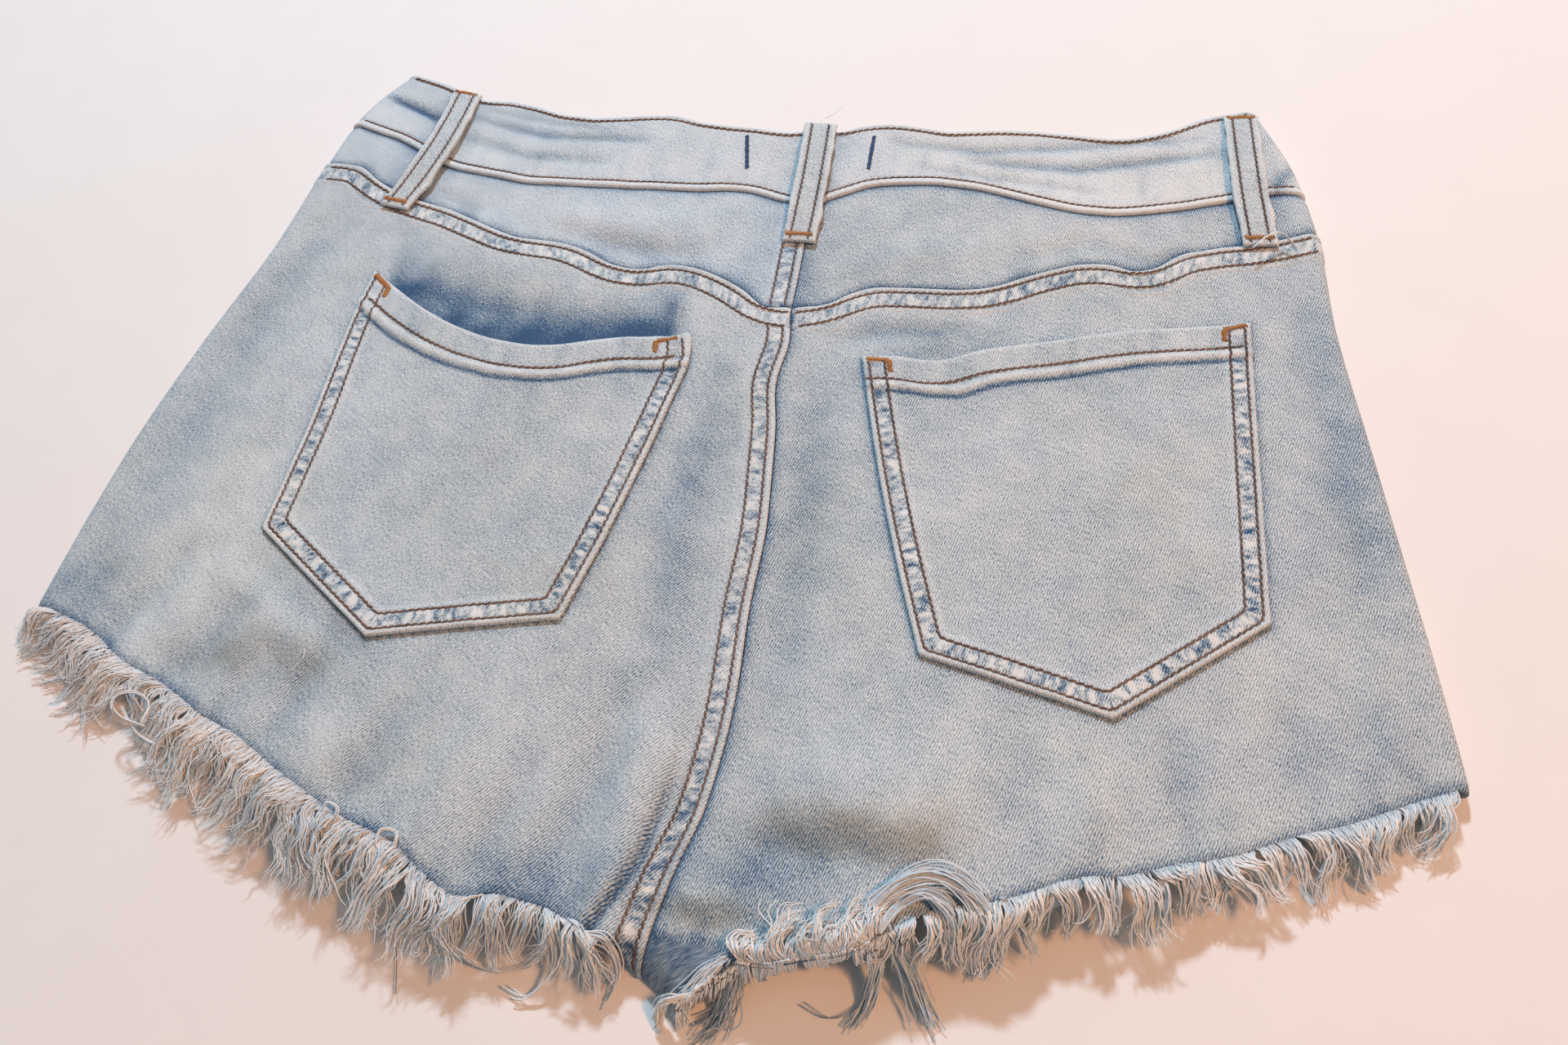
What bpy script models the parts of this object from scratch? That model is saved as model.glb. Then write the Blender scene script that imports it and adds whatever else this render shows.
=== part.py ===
"""Denim shorts laid flat, back side up.

Blender 4.5 script, metres, +Z up. The front layer lies on the plane z = 0, the back layer lies
over it and rolls round each side to meet it. +X runs across the garment, +Y towards the waist.
The origin is the middle of the base of the whole garment, fringe included.
Plan sizes below are in millimetres from the middle of the back waist edge.
"""

import math

import bpy
import numpy as np

MM = 0.001

GARMENT = "denim_shorts"
# From the middle of the back waist edge to the middle of the base.
ORIGIN_X = -3.5
ORIGIN_Y = -165.0

# Cloth: one layer of denim, the folded waistband, the folded belt loops, the fringe's thickness.
WALL = 1.2
BAND_WALL = 2.0
LOOP_WALL = 1.4
FRINGE_WALL = 2.4
# Pieces that are sewn together stay this far apart.
SEAM_GAP = 0.3

# Body: one row for each station down the garment.
# left_x, seam_x and right_x are the left fold, the centre back seam and the right fold; side,
# left, seam and right are the height of the back layer at the folds, at the two crests, and at
# the seam.
BODY_COLUMNS = ("y", "left_x", "seam_x", "right_x", "side", "left", "seam", "right")
BODY = (
    (-345, -247, -3, 246, 7.0, 17.5, 12.5, 21.5),
    (-300, -243, 4.5, 239, 7.0, 17.0, 12.0, 20.0),
    (-244, -238, 8, 231, 7.0, 14.5, 10.5, 15.5),
    (-205, -235, 6.5, 224, 7.2, 12.5, 10.5, 13.0),
    (-170, -231, 5, 217, 7.3, 11.5, 10.5, 12.0),
    (-125, -222.5, 3, 208, 7.4, 11.0, 10.5, 11.5),
    (-80, -212, 4, 199, 7.6, 10.5, 10.5, 11.0),
    (-33, -204.5, 3, 193, 8.4, 12.0, 11.8, 12.0),
    (0, -196, 0.5, 183.5, 9.2, 13.0, 12.8, 13.0),
    (25, -180, 0, 171, 9.6, 13.4, 13.2, 13.4),
)
# Where the crest of each leg lies, as a share of the way from the seam to the fold.
CREST_SHARE = 0.3

# Lines across the back, one row for each line and side: heights at the centre and at the fold,
# the bow and the sway off a straight run between them, and the dip close to the centre seam.
LINE_COLUMNS = ("centre", "fold", "bow", "sway", "dip")
LINES = {
    ("waist", "left"): (0, 16, -8, 0, 0),
    ("waist", "right"): (0, 22, -6, 2, 0),
    ("band_seam", "left"): (-34, -14, -16, 3.5, -9),
    ("band_seam", "right"): (-34, -18, -8, 6, -7),
    ("yoke_seam", "left"): (-78, -33, -10.5, 0, -12),
    ("yoke_seam", "right"): (-78, -36, -8, -3, -12),
    ("hem", "left"): (-329, -244, -7, -6, 0),
    ("hem", "right"): (-323, -243, -8, 0, 0),
}
# Share of the way to the fold over which that dip fades.
DIP_SPREAD = 0.07

# Lines across the front, hidden below: the waist dips, and the hem is a little shorter.
FRONT_DIP = 30
FRONT_HEM_RISE = 14

# Largest folds of the back layer: a soft ridge or trough from one end to the other.
FOLD_COLUMNS = ("x0", "y0", "x1", "y1", "width", "height")
FOLDS = {
    "left_leg_over_seam": (-13, -262, -13, -330, 7, 3.5),
    "seam_hollow": (6, -255, 0, -312, 7, -2.0),
    "beside_left_pocket": (-20, -140, -14, -235, 12, -1.2),
    "right_leg_swell": (30, -285, 78, -283, 14, 2.0),
}

# Crotch: the back layer rolls down to the table at this line, over this depth.
CROTCH_Y = -333
CROTCH_SLOPE = -0.6
CROTCH_LEFT_X = -9
CROTCH_LEFT_SLOPE = 3
ROLL_DEPTH = 18
ROLL_DEPTH_LEFT = 4
# Fork of each back panel: its share of the hem line, and the x where its hem meets the table.
FORK_SHARE = {"left": 0.04, "right": 0.12}
FORK_FOOT_X = {"left": -7, "right": 13}
# The front panel's fork ends this far inside the roll of the back one.
FORK_SET_BACK = 2.2

# Rows of each stretch of cloth; the front and back share them, so that their side seams agree.
BAND_STEPS = 3
YOKE_STEPS = 3
PANEL_STEPS = 12
FORK_STEPS = 4
# Columns of the fork, columns from there to the fold, and how they grow towards the fold.
FORK_COLUMNS = 3
PANEL_COLUMNS = 10
COLUMN_SPREAD = 1.25

# Side folds: flat tail on the table between the roll and the side seam.
FOLD_TAIL = 3.0
FOLD_STEPS = 6

# Back pockets: corners, one row each, as for the right one and the left one.
POCKET_COLUMNS = ("inner_top", "outer_top", "outer_low", "tip", "inner_low")
POCKETS = {
    "left": ((-32, -108), (-161, -91), (-165, -206), (-113, -243), (-51, -229)),
    "right": ((33, -112), (168, -81), (174, -200), (127, -240), (67, -227)),
}
POCKET_SAG = {"left": 21, "right": 3}
POCKET_GAPE = {"left": 2.5, "right": 0.8}
POCKET_WALL = 1.2
POCKET_STEPS = 8

# Belt loops of the back: top and foot of each, on the plan.
BACK_LOOPS = {
    "belt_loop_back_left": ((-152, 9), (-165, -56)),
    "belt_loop_back_centre": ((1, 0), (1.5, -61)),
    "belt_loop_back_right": ((164, 20), (171.5, -45)),
}
LOOP_WIDTH = 13
LOOP_BOW = 5.8
LOOP_STEPS = 10
# Belt loops of the front lie pressed flat under the band.
FRONT_LOOP_SHARE = 0.5
FRONT_LOOP_LENGTH = 56
FRONT_LOOP_STEPS = 4

# The front band stands on its loops, and rises over the waist button. The rise starts this far
# below the band seam, and fades towards the side from one share on, over another.
BAND_REST = 1.8
REST_START = 42
REST_RUN = 18
REST_FADE_FROM = 0.65
REST_FADE_OVER = 0.3
BUTTON_RISE = 4.9
BUTTON_SPREAD = 24
BUTTON_RADIUS = 8.5
BUTTON_CAP = 2.0
BUTTON_SHANK_RADIUS = 3.6
BUTTON_OFFSET = -13
BUTTON_CLEARANCE = 0.6

# Fringe: reach beyond the hem, the share that it loses towards the fold, its lean outwards at
# the centre and more of it at the fold, and how far its tips sink.
FRINGE_REACH = 24
FRINGE_TAPER = 0.2
FRINGE_LEAN = 0.25
FRINGE_LEAN_MORE = 0.35
FRINGE_DROOP = 0.25
FRINGE_START = {"left": 0.055, "right": 0.13}
FRINGE_END = 0.99
FRINGE_COLUMNS = 15
FRONT_FRINGE_REACH = 20
FRONT_FRINGE_TAPER = 0.3
FRONT_FRINGE_LEAN = 0.3
FRONT_FRINGE_SET_IN = 0.05
FRONT_FRINGE_COLUMNS = 12

COLOURS = {
    "denim": (0.42, 0.53, 0.64),
    "fringe": (0.72, 0.75, 0.76),
    "button": (0.42, 0.30, 0.17),
}


def smoothstep(value):
    """Soft step from 0 to 1."""
    t = np.clip(value, 0.0, 1.0)
    return t * t * (3.0 - 2.0 * t)


def body(y, column):
    """One column of BODY at height y, on a smooth curve through its rows."""
    table = np.array(BODY, dtype=float)
    rows = table[:, 0]
    values = table[:, BODY_COLUMNS.index(column)]
    slopes = np.gradient(values, rows)
    i = np.clip(np.searchsorted(rows, y) - 1, 0, len(rows) - 2)
    span = rows[i + 1] - rows[i]
    t = np.clip((y - rows[i]) / span, 0.0, 1.0)
    start = (1 + 2 * t) * (1 - t) ** 2 * values[i] + t * (1 - t) ** 2 * span * slopes[i]
    end = t * t * (3 - 2 * t) * values[i + 1] + t * t * (t - 1) * span * slopes[i + 1]
    return start + end


def fold_radius(y, wall=WALL):
    """Radius of the cloth's middle where it rolls round the side."""
    return (body(y, "side") - wall / 2) / 2


def run_end(side, y, wall=WALL):
    """x where the back layer stops being level and starts to roll."""
    if side == "left":
        return body(y, "left_x") + wall / 2 + fold_radius(y, wall)
    return body(y, "right_x") - wall / 2 - fold_radius(y, wall)


def line_y(name, side, share):
    """Height of a named line at a share of the way from the seam (0) to the fold (1)."""
    row = dict(zip(LINE_COLUMNS, LINES[name, side]))
    bow = row["bow"] * 4 * share * (1 - share)
    sway = row["sway"] * np.sin(2 * math.pi * share)
    dip = row["dip"] * np.exp(-share / DIP_SPREAD)
    return row["centre"] + (row["fold"] - row["centre"]) * share + bow + sway + dip


def plan(side, share, y, wall=WALL):
    """Plan position at a share of the way from the centre back seam to the fold."""
    seam = body(y, "seam_x")
    return seam + (run_end(side, y, wall) - seam) * share


def crotch_y(x):
    """Height of the line where the crotch meets the table."""
    rightward = CROTCH_SLOPE * np.maximum(x, CROTCH_LEFT_X)
    return CROTCH_Y + rightward + CROTCH_LEFT_SLOPE * np.minimum(x - CROTCH_LEFT_X, 0)


def crotch_roll(x, y):
    """Share of its height that the back layer keeps as it rolls down at the crotch."""
    leftward = np.clip(-x / -CROTCH_LEFT_X, 0.0, 1.0)
    depth = ROLL_DEPTH + (ROLL_DEPTH_LEFT - ROLL_DEPTH) * leftward
    t = np.clip((crotch_y(x) + depth - y) / depth, 0.0, 1.0)
    return np.sqrt(1.0 - t * t)


def fold_heights(x, y):
    """Sum of the largest folds at a plan position."""
    total = 0.0
    for fold in FOLDS.values():
        row = dict(zip(FOLD_COLUMNS, fold))
        run_x, run_y = row["x1"] - row["x0"], row["y1"] - row["y0"]
        along = ((x - row["x0"]) * run_x + (y - row["y0"]) * run_y) / (run_x**2 + run_y**2)
        nearest = np.clip(along, 0.0, 1.0)
        off = np.hypot(x - row["x0"] - nearest * run_x, y - row["y0"] - nearest * run_y)
        total = total + row["height"] * np.exp(-((off / row["width"]) ** 2))
    return total


def back_height(x, y):
    """Height of the middle of the back layer at a plan position."""
    seam_x = body(y, "seam_x")
    left_share = (seam_x - x) / (seam_x - run_end("left", y))
    right_share = (x - seam_x) / (run_end("right", y) - seam_x)
    on_left = x < seam_x
    share = np.clip(np.where(on_left, left_share, right_share), 0.0, 1.0)
    crest = np.where(on_left, body(y, "left"), body(y, "right"))
    seam = body(y, "seam")
    level = seam + (crest - seam) * smoothstep(share / CREST_SHARE)
    level = level + (body(y, "side") - crest) * smoothstep((share - CREST_SHARE) / (1 - CREST_SHARE))
    level = level + fold_heights(x, y)
    return WALL / 2 + (level - WALL / 2) * crotch_roll(x, y)


def back_row(side, shares, heights, wall=WALL):
    """One row across a back piece: the level run, the roll round the side and its flat tail.

    heights gives the row's y at each share; the roll and the tail keep the last one.
    """
    away = -1 if side == "left" else 1
    points = []
    for share, y in zip(shares, heights):
        x = plan(side, share, y, wall) + away * SEAM_GAP / 2 * (1 - share)
        points.append((x, y, float(back_height(x, y))))
    if shares[-1] < 1:
        return points
    y = heights[-1]
    radius = fold_radius(y, wall)
    x = run_end(side, y, wall)
    for step in range(1, FOLD_STEPS + 1):
        angle = math.pi * step / FOLD_STEPS
        points.append(
            (x + away * radius * math.sin(angle), y, wall / 2 + radius * (1 + math.cos(angle)))
        )
    points.append((x - away * FOLD_TAIL, y, wall / 2))
    return points


def back_rows(side, upper, lower, shares, steps, wall=WALL):
    """Rows of a back piece between two named lines, each half a seam gap inside its edge."""
    rows = []
    for step in range(steps + 1):
        down = step / steps
        heights = []
        for share in shares:
            top = line_y(upper, side, share) - SEAM_GAP / 2
            foot = line_y(lower, side, share) + SEAM_GAP / 2
            heights.append(top + (foot - top) * down)
        rows.append(back_row(side, shares, heights, wall))
    return rows


def fork_rows(side, hem_row, count, steps):
    """Rows of the fork, from the hem line at the crotch down to the inseam on the table."""
    away = -1 if side == "left" else 1
    rows = []
    for step in range(1, steps + 1):
        down = math.sin(math.pi / 2 * step / steps)
        row = []
        for column in range(count + 1):
            top_x, top_y, _ = hem_row[column]
            seam_foot = body(CROTCH_Y, "seam_x") + away * SEAM_GAP / 2
            foot_x = seam_foot + (FORK_FOOT_X[side] - seam_foot) * column / count
            x = top_x + (foot_x - top_x) * down
            y = top_y + (float(crotch_y(foot_x)) - top_y) * down
            row.append((x, y, float(back_height(x, y))))
        rows.append(row)
    return rows


def front_rest(side, share, y):
    """Height of the underside of the front layer: it stands on the loops and the button."""
    band_foot = line_y("band_seam", side, share) - front_dip(share)
    rest = BAND_REST * smoothstep((y - band_foot + REST_START) / REST_RUN)
    rest = rest * (1 - smoothstep((share - REST_FADE_FROM) / REST_FADE_OVER))
    x = plan(side, share, y)
    off = np.hypot(x - button_place()[0], y - button_place()[1])
    return rest + (BUTTON_RISE - BAND_REST) * np.exp(-((off / BUTTON_SPREAD) ** 2))


def button_place():
    """Plan position of the waist button, on the left end of the front band."""
    top = line_y("waist", "left", 0) - front_dip(0)
    foot = line_y("band_seam", "left", 0) - front_dip(0)
    return BUTTON_OFFSET, (top + foot) / 2


def front_dip(share):
    """How far the front waist lies below the back waist."""
    return FRONT_DIP * (1 - share * share)


def front_line(name, side, share):
    """Height of a line on the front layer."""
    if name == "hem":
        return line_y(name, side, share) + FRONT_HEM_RISE * (1 - share**4)
    return line_y(name, side, share) - front_dip(share)


def front_row(side, shares, heights, wall=WALL):
    """One row across a front piece, from the centre front to the side seam."""
    away = -1 if side == "left" else 1
    points = []
    for share, y in zip(shares, heights):
        seam = body(y, "seam_x") + away * SEAM_GAP / 2
        end = run_end(side, y, wall) - away * (FOLD_TAIL + SEAM_GAP)
        x = seam + (end - seam) * share
        points.append((x, y, float(front_rest(side, share, y)) + wall / 2))
    return points


def front_rows(side, upper, lower, shares, steps, wall=WALL):
    """Rows of a front piece between two named lines."""
    rows = []
    for step in range(steps + 1):
        down = step / steps
        heights = []
        for share in shares:
            top = front_line(upper, side, share) - SEAM_GAP / 2
            foot = front_line(lower, side, share) + SEAM_GAP / 2
            heights.append(top + (foot - top) * down)
        rows.append(front_row(side, shares, heights, wall))
    return rows


def shares_across(side):
    """Shares from the seam to the fold, closer over the fork and beside it."""
    fork_share = FORK_SHARE[side]
    fork = np.linspace(0, fork_share, FORK_COLUMNS + 1)
    steps = np.linspace(0, 1, PANEL_COLUMNS + 1)[1:]
    rest = fork_share + (1 - fork_share) * steps**COLUMN_SPREAD
    return [float(share) for share in (*fork, *rest)]


def material(name):
    """Principled material of a named colour."""
    found = bpy.data.materials.get(name)
    if found:
        return found
    made = bpy.data.materials.new(name)
    made.use_nodes = True
    shader = made.node_tree.nodes["Principled BSDF"]
    shader.inputs["Base Color"].default_value = (*COLOURS[name], 1.0)
    shader.inputs["Roughness"].default_value = 0.35 if name == "button" else 0.9
    shader.inputs["Metallic"].default_value = 0.9 if name == "button" else 0.0
    return made


def cloth(collection, name, rows, wall, slot="denim"):
    """A wall of cloth over a sheet of rows; a short row closes only the columns it has."""
    vertices = []
    starts = []
    for row in rows:
        starts.append(len(vertices))
        for x, y, z in row:
            vertices.append(((x - ORIGIN_X) * MM, (y - ORIGIN_Y) * MM, z * MM))
    faces = []
    for upper in range(len(rows) - 1):
        a, b = starts[upper], starts[upper + 1]
        for column in range(min(len(rows[upper]), len(rows[upper + 1])) - 1):
            faces.append((a + column, b + column, b + column + 1, a + column + 1))
    mesh = bpy.data.meshes.new(name)
    mesh.from_pydata(vertices, [], faces)
    mesh.materials.append(material(slot))
    mesh.shade_smooth()
    piece = bpy.data.objects.new(name, mesh)
    collection.objects.link(piece)
    shell = piece.modifiers.new("wall", "SOLIDIFY")
    shell.thickness = wall * MM
    shell.offset = 0
    return piece


def back_panel(collection, side):
    """Back leg panel with its fork."""
    rows = back_rows(side, "yoke_seam", "hem", shares_across(side), PANEL_STEPS)
    rows += fork_rows(side, rows[-1], FORK_COLUMNS, FORK_STEPS)
    cloth(collection, "back_panel_" + side, rows, WALL)


def back_yoke(collection, side):
    """Back yoke between the waistband and the leg panel."""
    rows = back_rows(side, "band_seam", "yoke_seam", shares_across(side), YOKE_STEPS)
    cloth(collection, "back_yoke_" + side, rows, WALL)


def back_band(collection):
    """Back waistband, one piece from side seam to side seam."""
    left = back_rows("left", "waist", "band_seam", shares_across("left"), BAND_STEPS, BAND_WALL)
    right = back_rows("right", "waist", "band_seam", shares_across("right"), BAND_STEPS, BAND_WALL)
    rows = []
    for left_row, right_row in zip(left, right):
        x, y, z = right_row[0]
        rows.append(left_row[:0:-1] + [(x - SEAM_GAP / 2, y, z)] + right_row[1:])
    cloth(collection, "waistband_back", rows, BAND_WALL)


def front_panel(collection, side):
    """Front leg panel, flat on the table, with its own short fork."""
    shares = shares_across(side)
    rows = front_rows(side, "band_seam", "yoke_seam", shares, YOKE_STEPS)
    rows = rows[:-1] + front_rows(side, "yoke_seam", "hem", shares, PANEL_STEPS)
    hem_row = rows[-1]
    away = -1 if side == "left" else 1
    last = []
    for column in range(FORK_COLUMNS + 1):
        seam_foot = body(CROTCH_Y, "seam_x") + away * SEAM_GAP / 2
        foot = seam_foot + (FORK_FOOT_X[side] - seam_foot) * column / FORK_COLUMNS
        last.append((foot, float(crotch_y(foot)) + FORK_SET_BACK, hem_row[column][2]))
    cloth(collection, "front_panel_" + side, rows + [last], WALL)


def front_band(collection, side):
    """Half of the front waistband."""
    rows = front_rows(side, "waist", "band_seam", shares_across(side), BAND_STEPS, BAND_WALL)
    cloth(collection, "waistband_front_" + side, rows, BAND_WALL)


def pocket_outline(side, across, down):
    """Plan position inside a pocket: across from inner to outer, down from top to foot."""
    corner = dict(zip(POCKET_COLUMNS, POCKETS[side]))
    inner_top, outer_top = np.array(corner["inner_top"]), np.array(corner["outer_top"])
    top = inner_top + (outer_top - inner_top) * across
    top = top - np.array((0, POCKET_SAG[side] * math.sin(math.pi * across)))
    if across < 0.5:
        start, end, share = corner["inner_low"], corner["tip"], across * 2
    else:
        start, end, share = corner["tip"], corner["outer_low"], across * 2 - 1
    foot = np.array(start) + (np.array(end) - np.array(start)) * share
    return top + (foot - top) * down


def pocket(collection, side):
    """Back pocket, laid on its panel and standing off it a little at its mouth."""
    rows = []
    for step in range(POCKET_STEPS + 1):
        down = step / POCKET_STEPS
        row = []
        for column in range(POCKET_STEPS + 1):
            across = column / POCKET_STEPS
            x, y = pocket_outline(side, across, down)
            gape = POCKET_GAPE[side] * math.sin(math.pi * across) * (1 - down) ** 4
            lift = WALL / 2 + SEAM_GAP + POCKET_WALL / 2 + gape
            row.append((x, y, float(back_height(x, y)) + lift))
        rows.append(row)
    cloth(collection, "back_pocket_" + side, rows, POCKET_WALL)


def strip_rows(top, foot, width, steps, height_at):
    """Rows of a straight strip from top to foot; height_at gives its height at a share."""
    top, foot = np.array(top, dtype=float), np.array(foot, dtype=float)
    along = (foot - top) / np.linalg.norm(foot - top)
    across = np.array((-along[1], along[0]))
    rows = []
    for step in range(steps + 1):
        share = step / steps
        centre = top + (foot - top) * share
        row = []
        for offset in (-width / 2, 0, width / 2):
            x, y = centre + across * offset
            row.append((x, y, height_at(x, y, share)))
        rows.append(row)
    return rows


def back_loop(collection, name, top, foot):
    """Belt loop of the back, standing off the band in a low bow."""

    def height(x, y, share):
        cloth_top = float(back_height(x, y)) + BAND_WALL / 2
        return cloth_top + SEAM_GAP + LOOP_WALL / 2 + LOOP_BOW * math.sin(math.pi * share) ** 0.8

    cloth(collection, name, strip_rows(top, foot, LOOP_WIDTH, LOOP_STEPS, height), LOOP_WALL)


def front_loop(collection, side):
    """Belt loop of the front, pressed flat between the band and the table."""
    y = front_line("waist", side, FRONT_LOOP_SHARE)
    x = plan(side, FRONT_LOOP_SHARE, y)

    def height(x_place, y_place, along):
        return LOOP_WALL / 2

    foot = (x, y - FRONT_LOOP_LENGTH)
    rows = strip_rows((x, y), foot, LOOP_WIDTH, FRONT_LOOP_STEPS, height)
    cloth(collection, "belt_loop_front_" + side, rows, LOOP_WALL)


def button(collection):
    """Waist button: a turned cap on the table and a shank up to the band."""
    x, y = button_place()
    shank_top = BUTTON_RISE - BUTTON_CLEARANCE
    profile = (
        (0, 0),
        (BUTTON_RADIUS - 1.2, 0),
        (BUTTON_RADIUS, 0.7),
        (BUTTON_RADIUS, BUTTON_CAP - 0.5),
        (BUTTON_RADIUS - 0.8, BUTTON_CAP),
        (BUTTON_SHANK_RADIUS, BUTTON_CAP),
        (BUTTON_SHANK_RADIUS, shank_top),
        (0, shank_top),
    )
    mesh = bpy.data.meshes.new("waist_button")
    vertices = [(r * MM, 0, z * MM) for r, z in reversed(profile)]
    edges = [(i, i + 1) for i in range(len(profile) - 1)]
    mesh.from_pydata(vertices, edges, [])
    mesh.materials.append(material("button"))
    piece = bpy.data.objects.new("waist_button", mesh)
    piece.location = ((x - ORIGIN_X) * MM, (y - ORIGIN_Y) * MM, 0)
    collection.objects.link(piece)
    turn = piece.modifiers.new("turn", "SCREW")
    turn.axis = "Z"
    turn.steps = 20
    turn.render_steps = 20
    turn.use_merge_vertices = True
    turn.merge_threshold = 0.00001


def back_fringe(collection, side):
    """Reach of the frayed back hem, sinking from the hem towards the table."""
    away = -1 if side == "left" else 1
    shares = np.linspace(FRINGE_START[side], FRINGE_END, FRINGE_COLUMNS)
    rows = []
    for step in range(4):
        out = step / 3
        row = []
        for share in shares:
            y = line_y("hem", side, share)
            x = plan(side, share, y)
            root = float(back_height(x, y + 1))
            lean = FRINGE_LEAN + FRINGE_LEAN_MORE * share
            reach = SEAM_GAP * 1.5 + FRINGE_REACH * (1 - FRINGE_TAPER * share) * out
            z = root * (1 - FRINGE_DROOP * smoothstep(out * 0.8))
            row.append((x + away * lean * reach, y - reach, max(z, FRINGE_WALL / 2 + 0.1)))
        rows.append(row)
    cloth(collection, "fringe_back_" + side, rows, FRINGE_WALL, "fringe")


def front_fringe(collection, side):
    """Reach of the frayed front hem, flat on the table."""
    away = -1 if side == "left" else 1
    start = FRINGE_START[side] + FRONT_FRINGE_SET_IN
    shares = np.linspace(start, FRINGE_END - FRONT_FRINGE_SET_IN, FRONT_FRINGE_COLUMNS)
    rows = []
    for out in (0, 0.5, 1):
        row = []
        for share in shares:
            y = front_line("hem", side, share)
            x = plan(side, share, y)
            reach = SEAM_GAP + FRONT_FRINGE_REACH * (1 - FRONT_FRINGE_TAPER * share) * out
            row.append((x + away * FRONT_FRINGE_LEAN * reach, y - reach, WALL))
        rows.append(row)
    cloth(collection, "fringe_front_" + side, rows, 2 * WALL - 0.2, "fringe")


def main():
    """Build every piece of the shorts."""
    for piece in list(bpy.data.objects):
        bpy.data.objects.remove(piece)
    collection = bpy.data.collections.new(GARMENT)
    bpy.context.scene.collection.children.link(collection)
    back_band(collection)
    for side in ("left", "right"):
        back_yoke(collection, side)
        back_panel(collection, side)
        pocket(collection, side)
        front_band(collection, side)
        front_panel(collection, side)
        front_loop(collection, side)
        back_fringe(collection, side)
        front_fringe(collection, side)
    for name, (top, foot) in BACK_LOOPS.items():
        back_loop(collection, name, top, foot)
    button(collection)


main()
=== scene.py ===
"""Looks of the denim shorts: fine cloth, stitching, fringe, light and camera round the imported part.

Plan sizes are in millimetres from the middle of the back waist edge, as the part's own are, and
to_row turns them into metres in the row frame. Left and right are those of the view from above
with the waist away, which are also the wearer's.
"""

import math

import bpy
import numpy as np
from mathutils import Matrix, Vector
from mathutils.bvhtree import BVHTree


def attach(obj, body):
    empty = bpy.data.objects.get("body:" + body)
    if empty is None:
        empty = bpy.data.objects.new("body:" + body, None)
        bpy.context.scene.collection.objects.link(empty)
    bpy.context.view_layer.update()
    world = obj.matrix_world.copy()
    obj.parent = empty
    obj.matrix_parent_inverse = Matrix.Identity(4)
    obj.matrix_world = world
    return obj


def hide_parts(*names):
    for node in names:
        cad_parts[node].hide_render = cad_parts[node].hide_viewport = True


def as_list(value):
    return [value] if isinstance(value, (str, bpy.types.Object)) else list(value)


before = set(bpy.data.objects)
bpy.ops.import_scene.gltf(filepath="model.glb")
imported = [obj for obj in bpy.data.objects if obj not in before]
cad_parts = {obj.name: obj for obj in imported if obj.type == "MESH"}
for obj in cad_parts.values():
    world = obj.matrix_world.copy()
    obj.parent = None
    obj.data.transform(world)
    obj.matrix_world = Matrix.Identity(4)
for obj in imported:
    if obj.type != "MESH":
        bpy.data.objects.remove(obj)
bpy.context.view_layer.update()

MM = 0.001
ORIGIN = np.array((-3.5, -165.0, 0.0))

# Sizes of the part, repeated from its CAD.
WALL = 1.2
BAND_WALL = 2.0
LOOP_WALL = 1.4
POCKET_WALL = 1.2
SEAM_GAP = 0.3
AWAY = {"left": -1, "right": 1}
BODY_COLUMNS = ("y", "left_x", "seam_x", "right_x", "side", "left", "seam", "right")
BODY = (
    (-345, -247, -3, 246, 7.0, 17.5, 12.5, 21.5),
    (-300, -243, 4.5, 239, 7.0, 17.0, 12.0, 20.0),
    (-244, -238, 8, 231, 7.0, 14.5, 10.5, 15.5),
    (-205, -235, 6.5, 224, 7.2, 12.5, 10.5, 13.0),
    (-170, -231, 5, 217, 7.3, 11.5, 10.5, 12.0),
    (-125, -222.5, 3, 208, 7.4, 11.0, 10.5, 11.5),
    (-80, -212, 4, 199, 7.6, 10.5, 10.5, 11.0),
    (-33, -204.5, 3, 193, 8.4, 12.0, 11.8, 12.0),
    (0, -196, 0.5, 183.5, 9.2, 13.0, 12.8, 13.0),
    (25, -180, 0, 171, 9.6, 13.4, 13.2, 13.4),
)
CREST_SHARE = 0.3
LINE_COLUMNS = ("centre", "fold", "bow", "sway", "dip")
LINES = {
    ("waist", "left"): (0, 16, -8, 0, 0),
    ("waist", "right"): (0, 22, -6, 2, 0),
    ("band_seam", "left"): (-34, -14, -16, 3.5, -9),
    ("band_seam", "right"): (-34, -18, -8, 6, -7),
    ("yoke_seam", "left"): (-78, -33, -10.5, 0, -12),
    ("yoke_seam", "right"): (-78, -36, -8, -3, -12),
    ("hem", "left"): (-329, -244, -7, -6, 0),
    ("hem", "right"): (-323, -243, -8, 0, 0),
}
DIP_SPREAD = 0.07
FRONT_DIP = 30
FRONT_HEM_RISE = 14
CROTCH_Y = -333
CROTCH_SLOPE = -0.6
CROTCH_LEFT_X = -9
CROTCH_LEFT_SLOPE = 3
ROLL_DEPTH = 18
ROLL_DEPTH_LEFT = 4
FORK_SHARE = {"left": 0.04, "right": 0.12}
FORK_FOOT_X = {"left": -7, "right": 13}
FORK_SET_BACK = 2.2
FOLD_TAIL = 3.0
POCKET_COLUMNS = ("inner_top", "outer_top", "outer_low", "tip", "inner_low")
POCKETS = {
    "left": ((-32, -108), (-161, -91), (-165, -206), (-113, -243), (-51, -229)),
    "right": ((33, -112), (168, -81), (174, -200), (127, -240), (67, -227)),
}
POCKET_SAG = {"left": 21, "right": 3}
POCKET_GAPE = {"left": 2.5, "right": 0.8}
BACK_LOOPS = {
    "belt_loop_back_left": ((-152, 9), (-165, -56)),
    "belt_loop_back_centre": ((1, 0), (1.5, -61)),
    "belt_loop_back_right": ((164, 20), (171.5, -45)),
}
LOOP_WIDTH = 13
FRONT_LOOP_SHARE = 0.5
FRONT_LOOP_LENGTH = 56
BAND_REST = 1.8
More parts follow.
